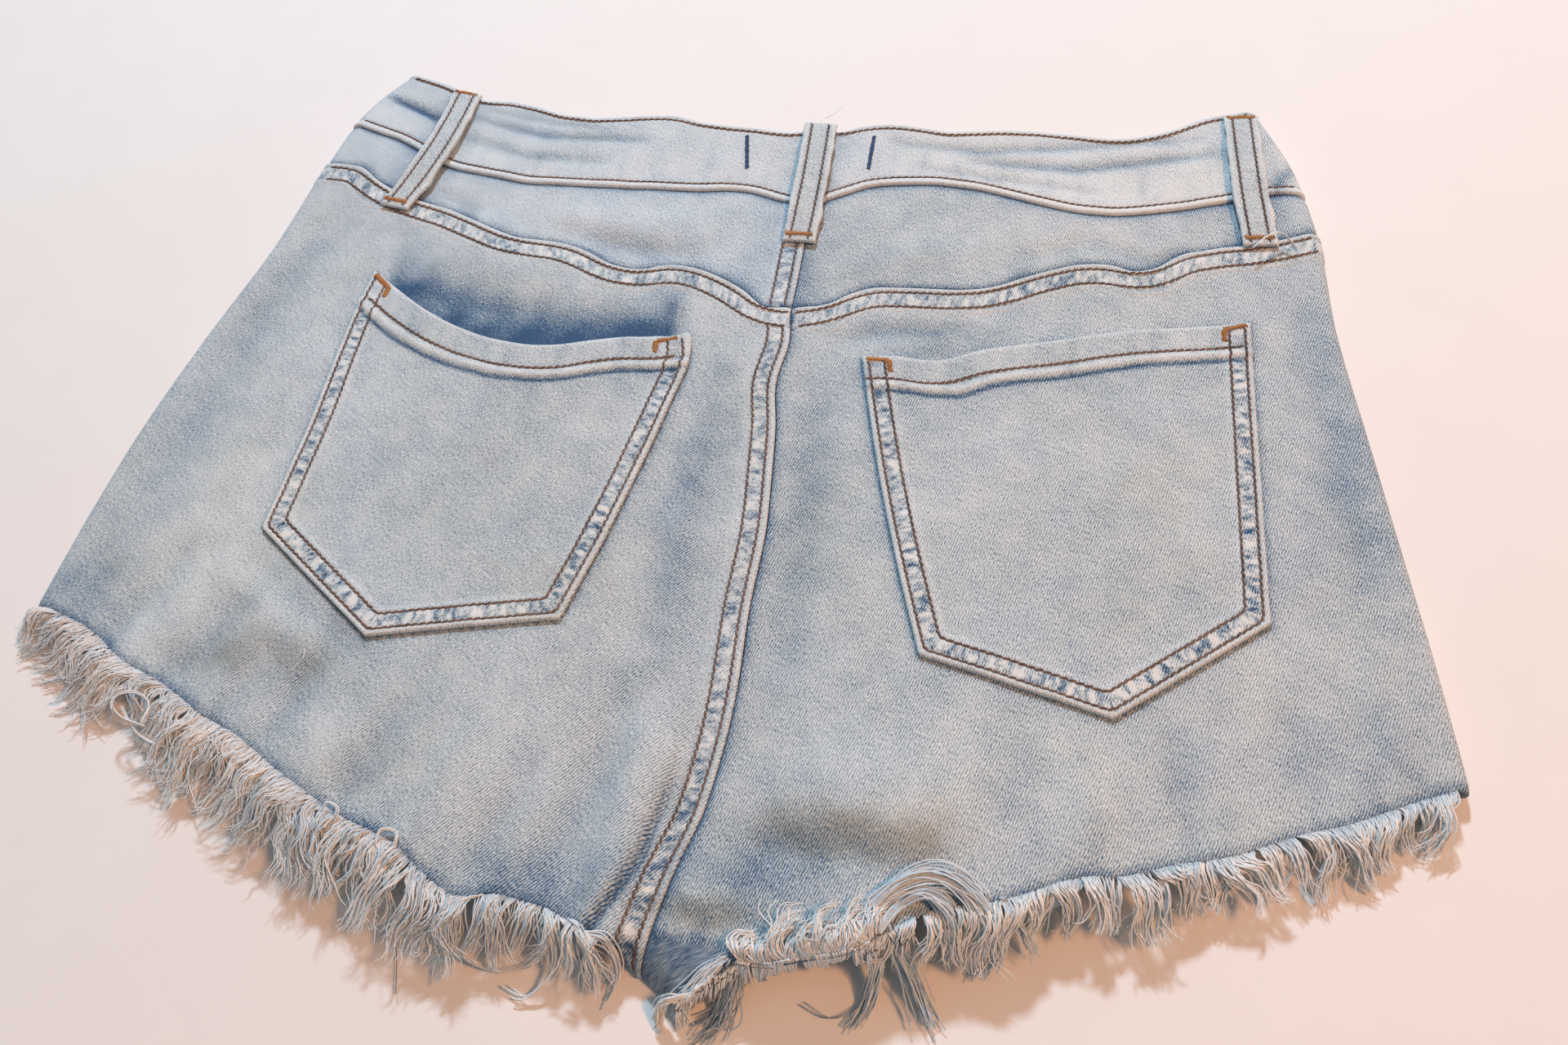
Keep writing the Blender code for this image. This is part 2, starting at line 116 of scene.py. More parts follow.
REST_START = 42
REST_RUN = 18
REST_FADE_FROM = 0.65
REST_FADE_OVER = 0.3
BUTTON_RISE = 4.9
BUTTON_SPREAD = 24
BUTTON_RADIUS = 8.5
BUTTON_CAP = 2.0
BUTTON_SHANK_RADIUS = 3.6
BUTTON_OFFSET = -13
BUTTON_CLEARANCE = 0.6

# How far each seam line is off the CAD's smooth one: (share from seam to fold, height), ....
LINE_WAVES = {
    ("waist", "left"): (
        (0, -1), (0.04, -3), (0.15, -1.2), (0.24, 0), (0.32, 3), (0.39, 1.5), (0.48, -1.5), (0.56, -1.5),
        (0.64, 1), (0.7, 1.5), (0.77, 0), (0.9, 3.5), (1, 4),
    ),
    ("waist", "right"): (
        (0, -1.5), (0.05, -2.5), (0.1, 0.5), (0.18, 1), (0.3, -2.5), (0.36, -1.5), (0.47, -0.5), (0.57, -1.5),
        (0.67, -3), (0.74, -2), (0.81, 0), (0.88, 3), (1, 2.5),
    ),
    ("band_seam", "left"): (
        (0, -1), (0.06, -1), (0.14, 1.2), (0.22, -0.2), (0.32, 0), (0.5, 1.2), (0.59, 1.5), (0.64, 2.6),
        (0.75, 3), (0.85, 6.3), (0.9, 6.6), (0.95, 4.6), (1, 2.8),
    ),
    ("band_seam", "right"): (
        (0, -1.5), (0.06, 0.5), (0.12, 2.5), (0.2, 3), (0.3, 3), (0.38, 2), (0.46, 0.3), (0.58, 0),
        (0.65, 1.6), (0.72, 3.8), (0.8, 5.2), (0.88, 5.3), (0.97, 3.5), (1, 1),
    ),
    ("yoke_seam", "left"): (
        (0, -1.2), (0.05, -7.5), (0.09, -4), (0.14, -0.7), (0.19, 1.2), (0.24, 0.4), (0.285, -4), (0.315, -5),
        (0.345, -4.6), (0.39, -1.5), (0.45, 0.2), (0.5, -1), (0.54, -2.3), (0.585, -1.7), (0.65, 0.3),
        (0.7, 1.3), (0.78, 0.5), (0.875, 2), (0.94, 4.8), (0.97, 3), (1, 0.5),
    ),
    ("yoke_seam", "right"): (
        (0, -1.5), (0.055, -4.8), (0.075, -4.4), (0.1, -2), (0.14, 0.5), (0.19, 0.4), (0.26, -1), (0.33, -2.7),
        (0.39, -2.5), (0.44, 0), (0.5, 1.8), (0.55, 2), (0.61, -1), (0.65, -5.3), (0.69, -5.2), (0.74, -1.2),
        (0.8, -0.6), (0.9, -1), (1, 0.3),
    ),
    ("hem", "left"): (
        (0, 0), (0.04, 1), (0.075, 2), (0.1, 3.5), (0.13, 4.8), (0.16, 4.5), (0.2, 3), (0.23, -1.2), (0.25, -2),
        (0.28, -1), (0.31, 0.2), (0.34, 2), (0.38, 1), (0.43, -1), (0.49, -2.2), (0.55, -3.1), (0.62, -3.2),
        (0.69, -4.8), (0.76, -3.8), (0.85, -3.6), (0.91, 0), (1, 0),
    ),
    ("hem", "right"): (
        (0, 0), (0.09, -6), (0.13, -11), (0.2, -12), (0.25, -11), (0.29, -6), (0.33, -2.5),
        (0.39, -2.6), (0.43, -1.8), (0.47, 0.4), (0.5, 0.8), (0.55, -1), (0.61, -0.5), (0.68, -1.7),
        (0.78, -0.9), (0.85, -1.9), (0.92, -1.8), (1, -3),
    ),
}

# How the centre seam wanders below the yoke: height, reach and how far to the right.
SEAM_WAVES = ((-255, 35, 1.4), (-165, 45, 1.3), (-126, 13, -2.2), (-188, 22, 1.6))

# Creases of the back layer: path, width and height of a trough (below 0) or a ridge.
CREASES = (
    # The four largest, as in the CAD.
    (((-13, -262), (-13, -330)), 7, 3.5),
    (((6, -255), (0, -312)), 7, -2),
    (((-20, -140), (-14, -235)), 12, -1.2),
    (((30, -285), (78, -283)), 14, 2),
    # Drag lines of the waistband.
    (((-146, -4), (-112, -13), (-66, -13)), 2.6, -0.83),
    (((-148, -14), (-118, -24), (-84, -25)), 2.8, -0.6),
    (((-142, 1), (-108, -6), (-84, -8)), 2.2, -0.52),
    (((30, -6), (64, -9), (100, -3), (150, 8)), 2.6, -0.75),
    (((62, -14), (104, -14), (156, 1)), 2.8, -0.9),
    (((40, -18), (74, -22), (112, -25)), 2.4, -0.52),
    (((-186, 6), (-172, 0), (-160, -6)), 2.4, -1.65),
    (((188, 2), (180, -10), (176, -24)), 3.0, -1.05),
    # Swells and hollows of the yoke.
    (((-92, -62), (-66, -68), (-36, -70)), 5.0, -1.65),
    (((-100, -52), (-60, -56), (-30, -56)), 8.0, 1.2),
    (((18, -72), (44, -64), (72, -58)), 7.0, 1.05),
    (((84, -60), (108, -50), (124, -50)), 5.0, -1.05),
    (((122, -52), (134, -56), (142, -50)), 4.0, -1.2),
    (((-152, -44), (-140, -50), (-128, -56)), 4.0, -0.9),
    # Below the yoke seam.
    (((22, -104), (44, -97), (70, -95)), 3.6, -1.35),
    (((-36, -98), (-39, -112)), 3.0, -1.2),
    (((-60, -92), (-100, -84), (-140, -76)), 9.0, 1.2),
    (((-54, -108), (-90, -106), (-128, -96)), 9.0, -1.5),
    # Beside the centre seam, down to the left leg's overhang.
    (((18, -120), (22, -180), (24, -240)), 9.0, -1.35),
    (((-22, -150), (-18, -190), (-12, -230)), 5.0, 1.35),
    (((-24, -250), (-26, -280), (-36, -314)), 7.0, -1.5),
    # Right leg, above its turned hem.
    (((26, -290), (54, -289), (84, -294)), 9.0, -2.53),
    (((36, -270), (70, -266), (104, -270)), 16.0, 1.8),
    (((96, -280), (100, -262), (98, -240)), 8.0, -1.05),
    # Waves that run up from the hems.
    (((-206, -254), (-196, -232), (-190, -214)), 6.0, -1.5),
    (((-178, -266), (-168, -246), (-162, -232)), 7.0, -1.65),
    (((-160, -274), (-154, -258), (-150, -250)), 5.0, 1.35),
    (((-136, -284), (-128, -262), (-124, -248)), 6.0, -1.8),
    (((-104, -298), (-96, -280), (-92, -262)), 7.0, -1.5),
    (((-76, -312), (-70, -290), (-66, -268)), 8.0, 1.49),
    (((-56, -316), (-50, -294), (-46, -276)), 6.0, -1.5),
    (((120, -286), (122, -268), (120, -254)), 7.0, 1.2),
    (((150, -276), (148, -258), (144, -240)), 6.0, -1.2),
    (((186, -260), (182, -244), (178, -224)), 7.0, -1.05),
    (((212, -250), (208, -230), (204, -204)), 6.0, 1.05),
    (((-170, -212), (-140, -232), (-112, -250)), 4.0, -1.0),
    (((-176, -220), (-146, -242), (-116, -258)), 5.0, 1.0),
    # Long soft falls on the outside of each leg.
    (((-190, -60), (-204, -120), (-212, -190)), 10.0, -1.2),
    (((184, -60), (196, -120), (206, -190)), 9.0, -1.35),
    (((-178, -110), (-186, -160), (-190, -214)), 8.0, 0.9),
)
CREASE_FADE = 0.06

# Twill: the angle of its lines on each piece, degrees from +X, and their pitch.
TWILL = {
    "back_panel_left": 50,
    "back_panel_right": 73,
    "back_yoke_left": 66,
    "back_yoke_right": 72,
    "back_pocket_left": 58,
    "back_pocket_right": 75,
    "waistband_back": 72,
}
TWILL_PITCH = 0.85
GRAIN_FROM_TWILL = 42

# Felled and topstitched seams: two rows of stitches, this far from the finished edge.
ROW_NEAR = 2.5
ROW_FAR = 9.0
FELL = 10.4
SEAM_NEAR = 2.9
SEAM_FAR = 8.4
SEAM_FELL = 11.4
SINGLE_ROW = 3.3
POCKET_ROW_NEAR = 2.2
POCKET_ROW_FAR = 7.7
POCKET_FELL = 9.0
MOUTH_ROW = 10.2
MOUTH_HEM = 14.6
LOOP_ROW = 3.4
LOOP_RISE = 2.0
WAIST_ROW = 2.4
BARTACK_WIDTH = 2.1
LOOP_CURVE = {"belt_loop_back_left": 3.6, "belt_loop_back_centre": 0.8, "belt_loop_back_right": -1.0}

STITCH_PITCH = 2.6
STITCH_RADIUS = 0.43
STITCH_ARCH = ((0, -0.02), (0.25, 0.18), (0.5, 0.24), (0.75, 0.18), (1, -0.02))
TACK_ARCH = ((-1, 0.0), (-0.5, 0.3), (0, 0.4), (0.5, 0.3), (1, 0.0))
TACK_PITCH = 0.42
STITCH_SKEW = 0.3

# Faded and unfaded patches of each piece, and a few of painted shade: x, y, reach across, reach along, depth of blue,
# warmth.
PATCHES = (
    (205, -130, 22, 70, 0.3, -0.1),
    (-205, -185, 22, 40, 0.16, -0.05),
    (28, -150, 14, 50, 0.08, -0.05),
    (22, -230, 12, 20, 0.05, -0.05),
    (-150, -120, 40, 60, -0.16, -0.05),
    (-182, -200, 28, 34, -0.36, 0.12),
    (-20, -270, 40, 20, -0.05, -0.05),
    (-17, -170, 7, 60, 0.35, -0.1),
    (30, -302, 24, 14, 0.6, -0.1),
    (-36, -315, 26, 12, 0.55, -0.1),
    (-128, -296, 9, 7, 0.35, -0.1),
    (-92, -306, 8, 6, 0.3, -0.1),
    (-172, -272, 8, 7, 0.35, -0.1),
    (-60, -150, 14, 8, -0.12, 0.0),
    (-222, -235, 15, 14, 0.5, -0.05),
    (200, -240, 25, 15, 0.22, -0.1),
    (-150, -263, 8, 8, 0.3, -0.1),
    (-196, -248, 9, 9, -0.3, -0.1),
    (-116, -280, 8, 12, -0.2, -0.1),
    (-190, -222, 14, 14, -0.25, 0.0),
    (92, -262, 45, 14, -0.05, 0.0),
    (-90, -54, 40, 10, -0.3, -0.1),
    (-60, -94, 60, 10, -0.25, -0.1),
    (108, -48, 44, 10, -0.22, 0.0),
    # Painted shade: the grey-brown hollow above the right leg's turned hem.
    (54, -288, 28, 8, -0.2, 0.72),
    (74, -280, 16, 10, -0.1, 0.25),
    (28, -188, 12, 40, 0.02, 0.15),
    (-100, -170, 38, 34, 0.12, 0.05),
    (90, -62, 60, 14, 0.04, 0.14),
    (-60, -210, 30, 24, 0.06, 0.12),
    (120, -180, 40, 40, 0.05, 0.1),
    (14, -314, 22, 5, 0.25, 0.8),
    (-146, -254, 42, 10, 0.1, 0.4),
    (-110, -286, 26, 12, 0.05, 0.3),
    (-212, -222, 16, 10, 0.1, 0.25),
    (36, -66, 14, 8, 0.2, 0.1),
    (58, -98, 26, 5, 0.4, 0.12),
)


def to_row(points):
    """Metres in the row frame from millimetres on the plan."""
    return (np.asarray(points, dtype=float) - ORIGIN) * MM


def smoothstep(value):
    """Soft step from 0 to 1."""
    t = np.clip(value, 0.0, 1.0)
    return t * t * (3.0 - 2.0 * t)


def bell(value, at, width):
    """Soft bump of height 1."""
    return np.exp(-(((value - at) / width) ** 2))


def waves(s, seed, shortest, longest, count=5):
    """Uneven wave along s, roughly from -1 to 1, the same each run."""
    draw = np.random.default_rng(seed)
    total = np.zeros(np.shape(s))
    for length in np.geomspace(shortest, longest, count):
        total = total + np.sin(2 * math.pi * (s / length + draw.random())) * draw.uniform(0.6, 1.0)
    return total / (0.6 * count)


def ripple(x, y, seed, shortest, longest, count=9):
    """Uneven soft ripples over the plan, roughly from -1 to 1, the same each run."""
    draw = np.random.default_rng(seed)
    total = np.zeros(np.shape(x))
    for length in np.geomspace(shortest, longest, count):
        turn = draw.uniform(0, math.pi)
        along = x * math.cos(turn) + y * math.sin(turn)
        total = total + np.sin(2 * math.pi * (along / length + draw.random()))
    return total / (0.5 * count)


def through(value, knots, heights):
    """A smooth curve through these heights at these knots."""
    knots, heights = np.array(knots, dtype=float), np.array(heights, dtype=float)
    slopes = np.gradient(heights, knots)
    i = np.clip(np.searchsorted(knots, value) - 1, 0, len(knots) - 2)
    span = knots[i + 1] - knots[i]
    t = np.clip((value - knots[i]) / span, 0.0, 1.0)
    start = (1 + 2 * t) * (1 - t) ** 2 * heights[i] + t * (1 - t) ** 2 * span * slopes[i]
    end = t * t * (3 - 2 * t) * heights[i + 1] + t * t * (t - 1) * span * slopes[i + 1]
    return start + end


def body(y, column):
    """One column of BODY at height y, on a smooth curve through its rows."""
    table = np.array(BODY, dtype=float)
    return through(y, table[:, 0], table[:, BODY_COLUMNS.index(column)])


def seam_x(y):
    """x of the centre back seam, a little to the right of the CAD's smooth line on its way down."""
    lower = smoothstep((-y - 90) / 20) * smoothstep((y + 308) / 26)
    return body(y, "seam_x") + lower * (2.6 + sum(height * bell(y, at, width) for at, width, height in SEAM_WAVES))


def fold_radius(y, wall=WALL):
    """Radius of the cloth's middle where it rolls round the side."""
    return (body(y, "side") - wall / 2) / 2


def run_end(side, y, wall=WALL):
    """x where the back layer stops being level and starts to roll."""
    if side == "left":
        return body(y, "left_x") + wall / 2 + fold_radius(y, wall)
    return body(y, "right_x") - wall / 2 - fold_radius(y, wall)


def line_y(name, side, share):
    """Height of a named line at a share of the way from the seam (0) to the fold (1)."""
    row = dict(zip(LINE_COLUMNS, LINES[name, side]))
    bow = row["bow"] * 4 * share * (1 - share)
    sway = row["sway"] * np.sin(2 * math.pi * share)
    dip = row["dip"] * np.exp(-share / DIP_SPREAD)
    y = row["centre"] + (row["fold"] - row["centre"]) * share + bow + sway + dip
    return y + through(share, *zip(*LINE_WAVES[name, side]))


def plan(side, share, y, wall=WALL):
    """Plan position at a share of the way from the centre back seam to the fold."""
    seam = seam_x(y)
    return seam + (run_end(side, y, wall) - seam) * share


def crotch_y(x):
    """Height of the line where the crotch meets the table."""
    rightward = CROTCH_SLOPE * np.maximum(x, CROTCH_LEFT_X)
    return CROTCH_Y + rightward + CROTCH_LEFT_SLOPE * np.minimum(x - CROTCH_LEFT_X, 0)


def crotch_roll(x, y):
    """Share of its height that the back layer keeps as it rolls down at the crotch."""
    leftward = np.clip(-x / -CROTCH_LEFT_X, 0.0, 1.0)
    depth = ROLL_DEPTH + (ROLL_DEPTH_LEFT - ROLL_DEPTH) * leftward
    t = np.clip((crotch_y(x) + depth - y) / depth, 0.0, 1.0)
    return np.sqrt(1.0 - t * t)


def nearest_on(x, y, path):
    """Distance to a path of straight runs, the place along it, and its whole length."""
    best = np.full(np.shape(x), 1e9)
    place = np.zeros(np.shape(x))
    done = 0.0
    for (x0, y0), (x1, y1) in zip(path[:-1], path[1:]):
        run = math.hypot(x1 - x0, y1 - y0)
        ax, ay = (x1 - x0) / run, (y1 - y0) / run
        along = np.clip((x - x0) * ax + (y - y0) * ay, 0, run)
        off = np.hypot(x - x0 - along * ax, y - y0 - along * ay)
        place = np.where(off < best, done + along, place)
        best = np.minimum(best, off)
        done += run
    return best, place, done


def crease(x, y, path, width, height):
    """One crease: a soft trough or ridge along its path, thinning out at both ends."""
    off, place, total = nearest_on(x, y, path)
    share = place / total
    thin = np.clip(4 * share * (1 - share), 0, 1) ** 0.5
    return height * (0.35 + 0.65 * thin) * bell(off, 0, width)


def crease_sum(x, y):
    """All creases at a plan position, and how deep into the troughs it is."""
    ones = [crease(x, y, *row) for row in CREASES]
    return sum(ones), -sum(one for one, (_, _, height) in zip(ones, CREASES) if height < 0)


OVERHANG = ((-256, -1.5), (-275, -2.5), (-290, -5.0), (-302, -7.0), (-312, -11.0), (-325, -17.0))


def overhang_off(x, y):
    """How far left of its sharp crease the left leg is, beside the foot of the seam."""
    table = np.array(OVERHANG[::-1])
    return np.interp(y, table[:, 0], table[:, 1]) - x


def overhang(x, y):
    """The left leg stands over the felled strip: a sharp step down to it."""
    off = overhang_off(x, y)
    grow = smoothstep((-y - 254) / 44)
    raised = 3.6 * (1 - np.exp(-np.maximum(off, 0) / 0.9)) * np.exp(-np.maximum(off, 0) / 13)
    return grow * (raised - 0.9 * bell(off, -0.8, 1.6))


def back_height(x, y):
    """Height of the middle of the back layer at a plan position, creases included."""
    middle = seam_x(y)
    left_share = (middle - x) / (middle - run_end("left", y))
    right_share = (x - middle) / (run_end("right", y) - middle)
    on_left = x < middle
    share = np.clip(np.where(on_left, left_share, right_share), 0.0, 1.0)
    crest = np.where(on_left, body(y, "left"), body(y, "right"))
    seam = body(y, "seam")
    level = seam + (crest - seam) * smoothstep(share / CREST_SHARE)
    level = level + (body(y, "side") - crest) * smoothstep((share - CREST_SHARE) / (1 - CREST_SHARE))
    small, _ = crease_sum(x, y)
    small = small + 0.22 * ripple(x, y, 3, 14, 60) + overhang(x, y)
    level = level + small * smoothstep((1 - share) / CREASE_FADE)
    return WALL / 2 + (level - WALL / 2) * crotch_roll(x, y)


# ---------------------------------------------------------------- cloth meshes


FIELDS = ("relief", "worn", "deep", "rope", "warm")


class Look:
    """What varies over a piece of cloth: relief of its outer face, wear, depth of blue (which also carries painted
    shade), seams.
    """

    def __init__(self, shape):
        for key in FIELDS:
            setattr(self, key, np.zeros(shape))
        self.seam = np.zeros((*shape, 3))

    def patched(self, x, y, level):
        """Soft patches of the fade and of painted shade, and the piece's own level of blue."""
        self.deep += level
        for at_x, at_y, across, along, deep, warm in PATCHES:
            near = np.exp(-(((x - at_x) / across) ** 2) - ((y - at_y) / along) ** 2)
            near = near * (0.85 + 0.3 * ripple(x, y, 91, 7, 30))
            self.deep += deep * near
            self.warm += warm * near

    def felled(self, d, s, seed, near=ROW_NEAR, far=ROW_FAR, fell=FELL, lift=0.45, rough=1.0, within=True):
        """Double-stitched seam: d from its finished edge, s along it."""
        inside = 1 - smoothstep((d - fell + 0.4) / 1.6)
        slow = waves(s, seed, 5, 17)
        between = smoothstep((d - near - 0.2) / 0.9) * (1 - smoothstep((d - far + 1.1) / 0.9))
        relief = lift * inside + 0.26 * bell(d, 0.9, 0.8)
        relief = relief - 0.32 * bell(d, near, 0.55) - 0.3 * bell(d, far, 0.55)
        relief = relief + between * 0.12 * rough * slow
        reach = (d < fell + 3) & within
        worn = 0.7 * bell(d, 0.8, 0.95) + 0.16 * inside + 0.3 * bell(d, fell + 0.3, 1.0)
        worn = worn * (0.85 + 0.15 * waves(s, seed + 1, 6, 23))
        deep = 0.3 * bell(d, near, 0.8) + 0.25 * bell(d, far, 0.8) + 0.3 * rough * between * np.clip(-slow, 0, 1)
        for key, value in (("relief", relief), ("worn", worn), ("deep", deep), ("rope", between * rough)):
            now = getattr(self, key)
            setattr(self, key, np.where(reach, np.maximum(now, value), now))
        for k, value in enumerate((s, d)):
            self.seam[..., k] = np.where(reach, value, self.seam[..., k])

    def folded(self, d, s, seed, row=SINGLE_ROW, ridge=2.9, lift=0.45):
        """Folded edge with one row of stitches: a pale ridge, then the row."""
        slow = waves(s, seed, 5, 21)
        self.relief += lift * bell(d, ridge * 0.45, ridge * 0.42) - 0.3 * bell(d, row, 0.55)
        self.worn += 0.95 * bell(d, ridge * 0.45, ridge * 0.5)
        self.worn += 0.25 * bell(d, row + 2.5, 2.0) * np.clip(slow, 0, 1)
        self.deep += 0.35 * bell(d, row, 0.7) + 0.3 * bell(d, row + 2.4, 1.8) * np.clip(-slow, 0, 1)

    def shadowed(self, d, amount, width):
        """Painted shade beside an edge: deeper blue where its contact shadow falls."""
        self.deep += amount * np.exp(-np.maximum(d, 0) / width)


def grid_faces(counts):
    """Quads between rows of points that share their first columns."""
    starts = np.concatenate(([0], np.cumsum(counts)))
    faces = []
    for i in range(len(counts) - 1):
        n = min(counts[i], counts[i + 1])
        a = starts[i] + np.arange(n - 1)
        b = starts[i + 1] + np.arange(n - 1)
        faces.append(np.stack((a, b, b + 1, a + 1), axis=1))
    return np.concatenate(faces)


def point_normals(points, faces):
    """Unit normals of the points of a quad mesh."""
    p = points[faces]
    face = np.cross(p[:, 2] - p[:, 0], p[:, 3] - p[:, 1])
    total = np.zeros_like(points)
    for corner in range(4):
        np.add.at(total, faces[:, corner], face)
    return total / np.maximum(np.linalg.norm(total, axis=1), 1e-12)[:, None]


def open_edges(faces):
    """Directed edges that only one face has."""
    edges = np.concatenate([faces[:, [k, (k + 1) % 4]] for k in range(4)])
    known = {(a, b) for a, b in edges.tolist()}
    return np.array([(a, b) for a, b in edges.tolist() if (b, a) not in known])


def new_mesh(name, vertices, faces, materials, slots=None):
    """An object in the row frame from millimetre points."""
    mesh = bpy.data.meshes.new(name)
    mesh.vertices.add(len(vertices))
    mesh.vertices.foreach_set("co", to_row(vertices).astype(np.float32).ravel())
    corners = len(faces[0])
    mesh.loops.add(len(faces) * corners)
    mesh.loops.foreach_set("vertex_index", np.asarray(faces, dtype=np.int32).ravel())
    mesh.polygons.add(len(faces))
    mesh.polygons.foreach_set("loop_start", np.arange(len(faces), dtype=np.int32) * corners)
    mesh.polygons.foreach_set("use_smooth", np.ones(len(faces), dtype=bool))
    for item in materials:
        mesh.materials.append(item)
    if slots is not None:
        mesh.polygons.foreach_set("material_index", np.asarray(slots, dtype=np.int32))
    mesh.update()
    mesh.validate()
    piece = bpy.data.objects.new(name, mesh)
    bpy.context.scene.collection.objects.link(piece)
    return piece


def set_attribute(piece, name, values):
    """A number or a vector for each point."""
    kind = "FLOAT_VECTOR" if values.ndim == 2 else "FLOAT"
    attribute = piece.data.attributes.new(name, kind, "POINT")
    field = "vector" if values.ndim == 2 else "value"
    attribute.data.foreach_set(field, values.astype(np.float32).ravel())


def shell(name, points, faces, wall, look, weave, materials, outer_up=True):
    """Closed thin shell over a sheet of points, and its outer face.

    Relief is added to the outer face, whose material is the first. The rim is thinned on that
    side, so that it looks rounded.
    """
    normals = point_normals(points, faces)
    if normals[:, 2].sum() < 0:
        faces = faces[:, ::-1]
        normals = -normals
    rim = open_edges(faces)
    edge = np.zeros(len(points), dtype=bool)
    edge[rim.ravel()] = True
    half = np.full(len(points), wall / 2)
    outer = np.where(edge, wall * 0.3 + look["relief"] * 0.6, half + look["relief"])
    above, below = (outer, half) if outer_up else (half, outer)
    top = points + normals * above[:, None]
    bottom = points - normals * below[:, None]
    count = len(points)
    a, b = rim[:, 0], rim[:, 1]
    sides = np.stack((b, a, a + count, b + count), axis=1)
    all_faces = np.concatenate((faces, faces[:, ::-1] + count, sides))
    slots = np.repeat((0, 1, 0) if outer_up else (1, 0, 0), (len(faces), len(faces), len(sides)))
    piece = new_mesh(name, np.concatenate((top, bottom)), all_faces, materials, slots)
    for key in FIELDS[1:]:
        set_attribute(piece, key, np.tile(look[key], 2))
    set_attribute(piece, "seam", np.tile(look["seam"], (2, 1)))
    set_attribute(piece, "weave", np.tile(weave, (2, 1)))
    return piece, top, faces


def turned(x, y, degrees):
    """Weave coordinates: across the twill lines, along them, and 0."""
    angle = math.radians(degrees)
    across = -x * math.sin(angle) + y * math.cos(angle)
    along = x * math.cos(angle) + y * math.sin(angle)
    return np.stack((across, along, np.zeros_like(across)), axis=-1)


SURFACES = {}


def cloth(name, rows, look, weave, wall, inner, outer_up=True):
    """A piece of cloth from rows of points, with a look and a weave place for each point.

    Its outer face is kept, so that stitches can be laid on it.
    """
    faces = grid_faces([len(row) for row in rows])
    look = {key: np.concatenate(look[key]) for key in (*FIELDS, "seam")}
    rows, weave = np.concatenate(rows), np.concatenate(weave)
    piece, top, faces = shell(name + "_cloth", rows, faces, wall, look, weave, (DENIM, inner), outer_up)
    SURFACES[name] = BVHTree.FromPolygons(top.tolist(), faces.tolist())
    declare(piece, [name])
    return piece


def height_on(names, x, y):
    """Height of the highest of these surfaces at a plan position, or None."""
    found = None
    for name in names:
        hit, _, _, _ = SURFACES[name].ray_cast(Vector((x, y, 60.0)), Vector((0, 0, -1)))
        if hit is not None and (found is None or hit.z > found):
            found = hit.z
    return found


def declare(piece, nodes):
    """Fixes a piece to the frame in place of its CAD nodes."""
    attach(piece, "root")
    if nodes:
        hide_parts(*nodes)


# ---------------------------------------------------------------- materials


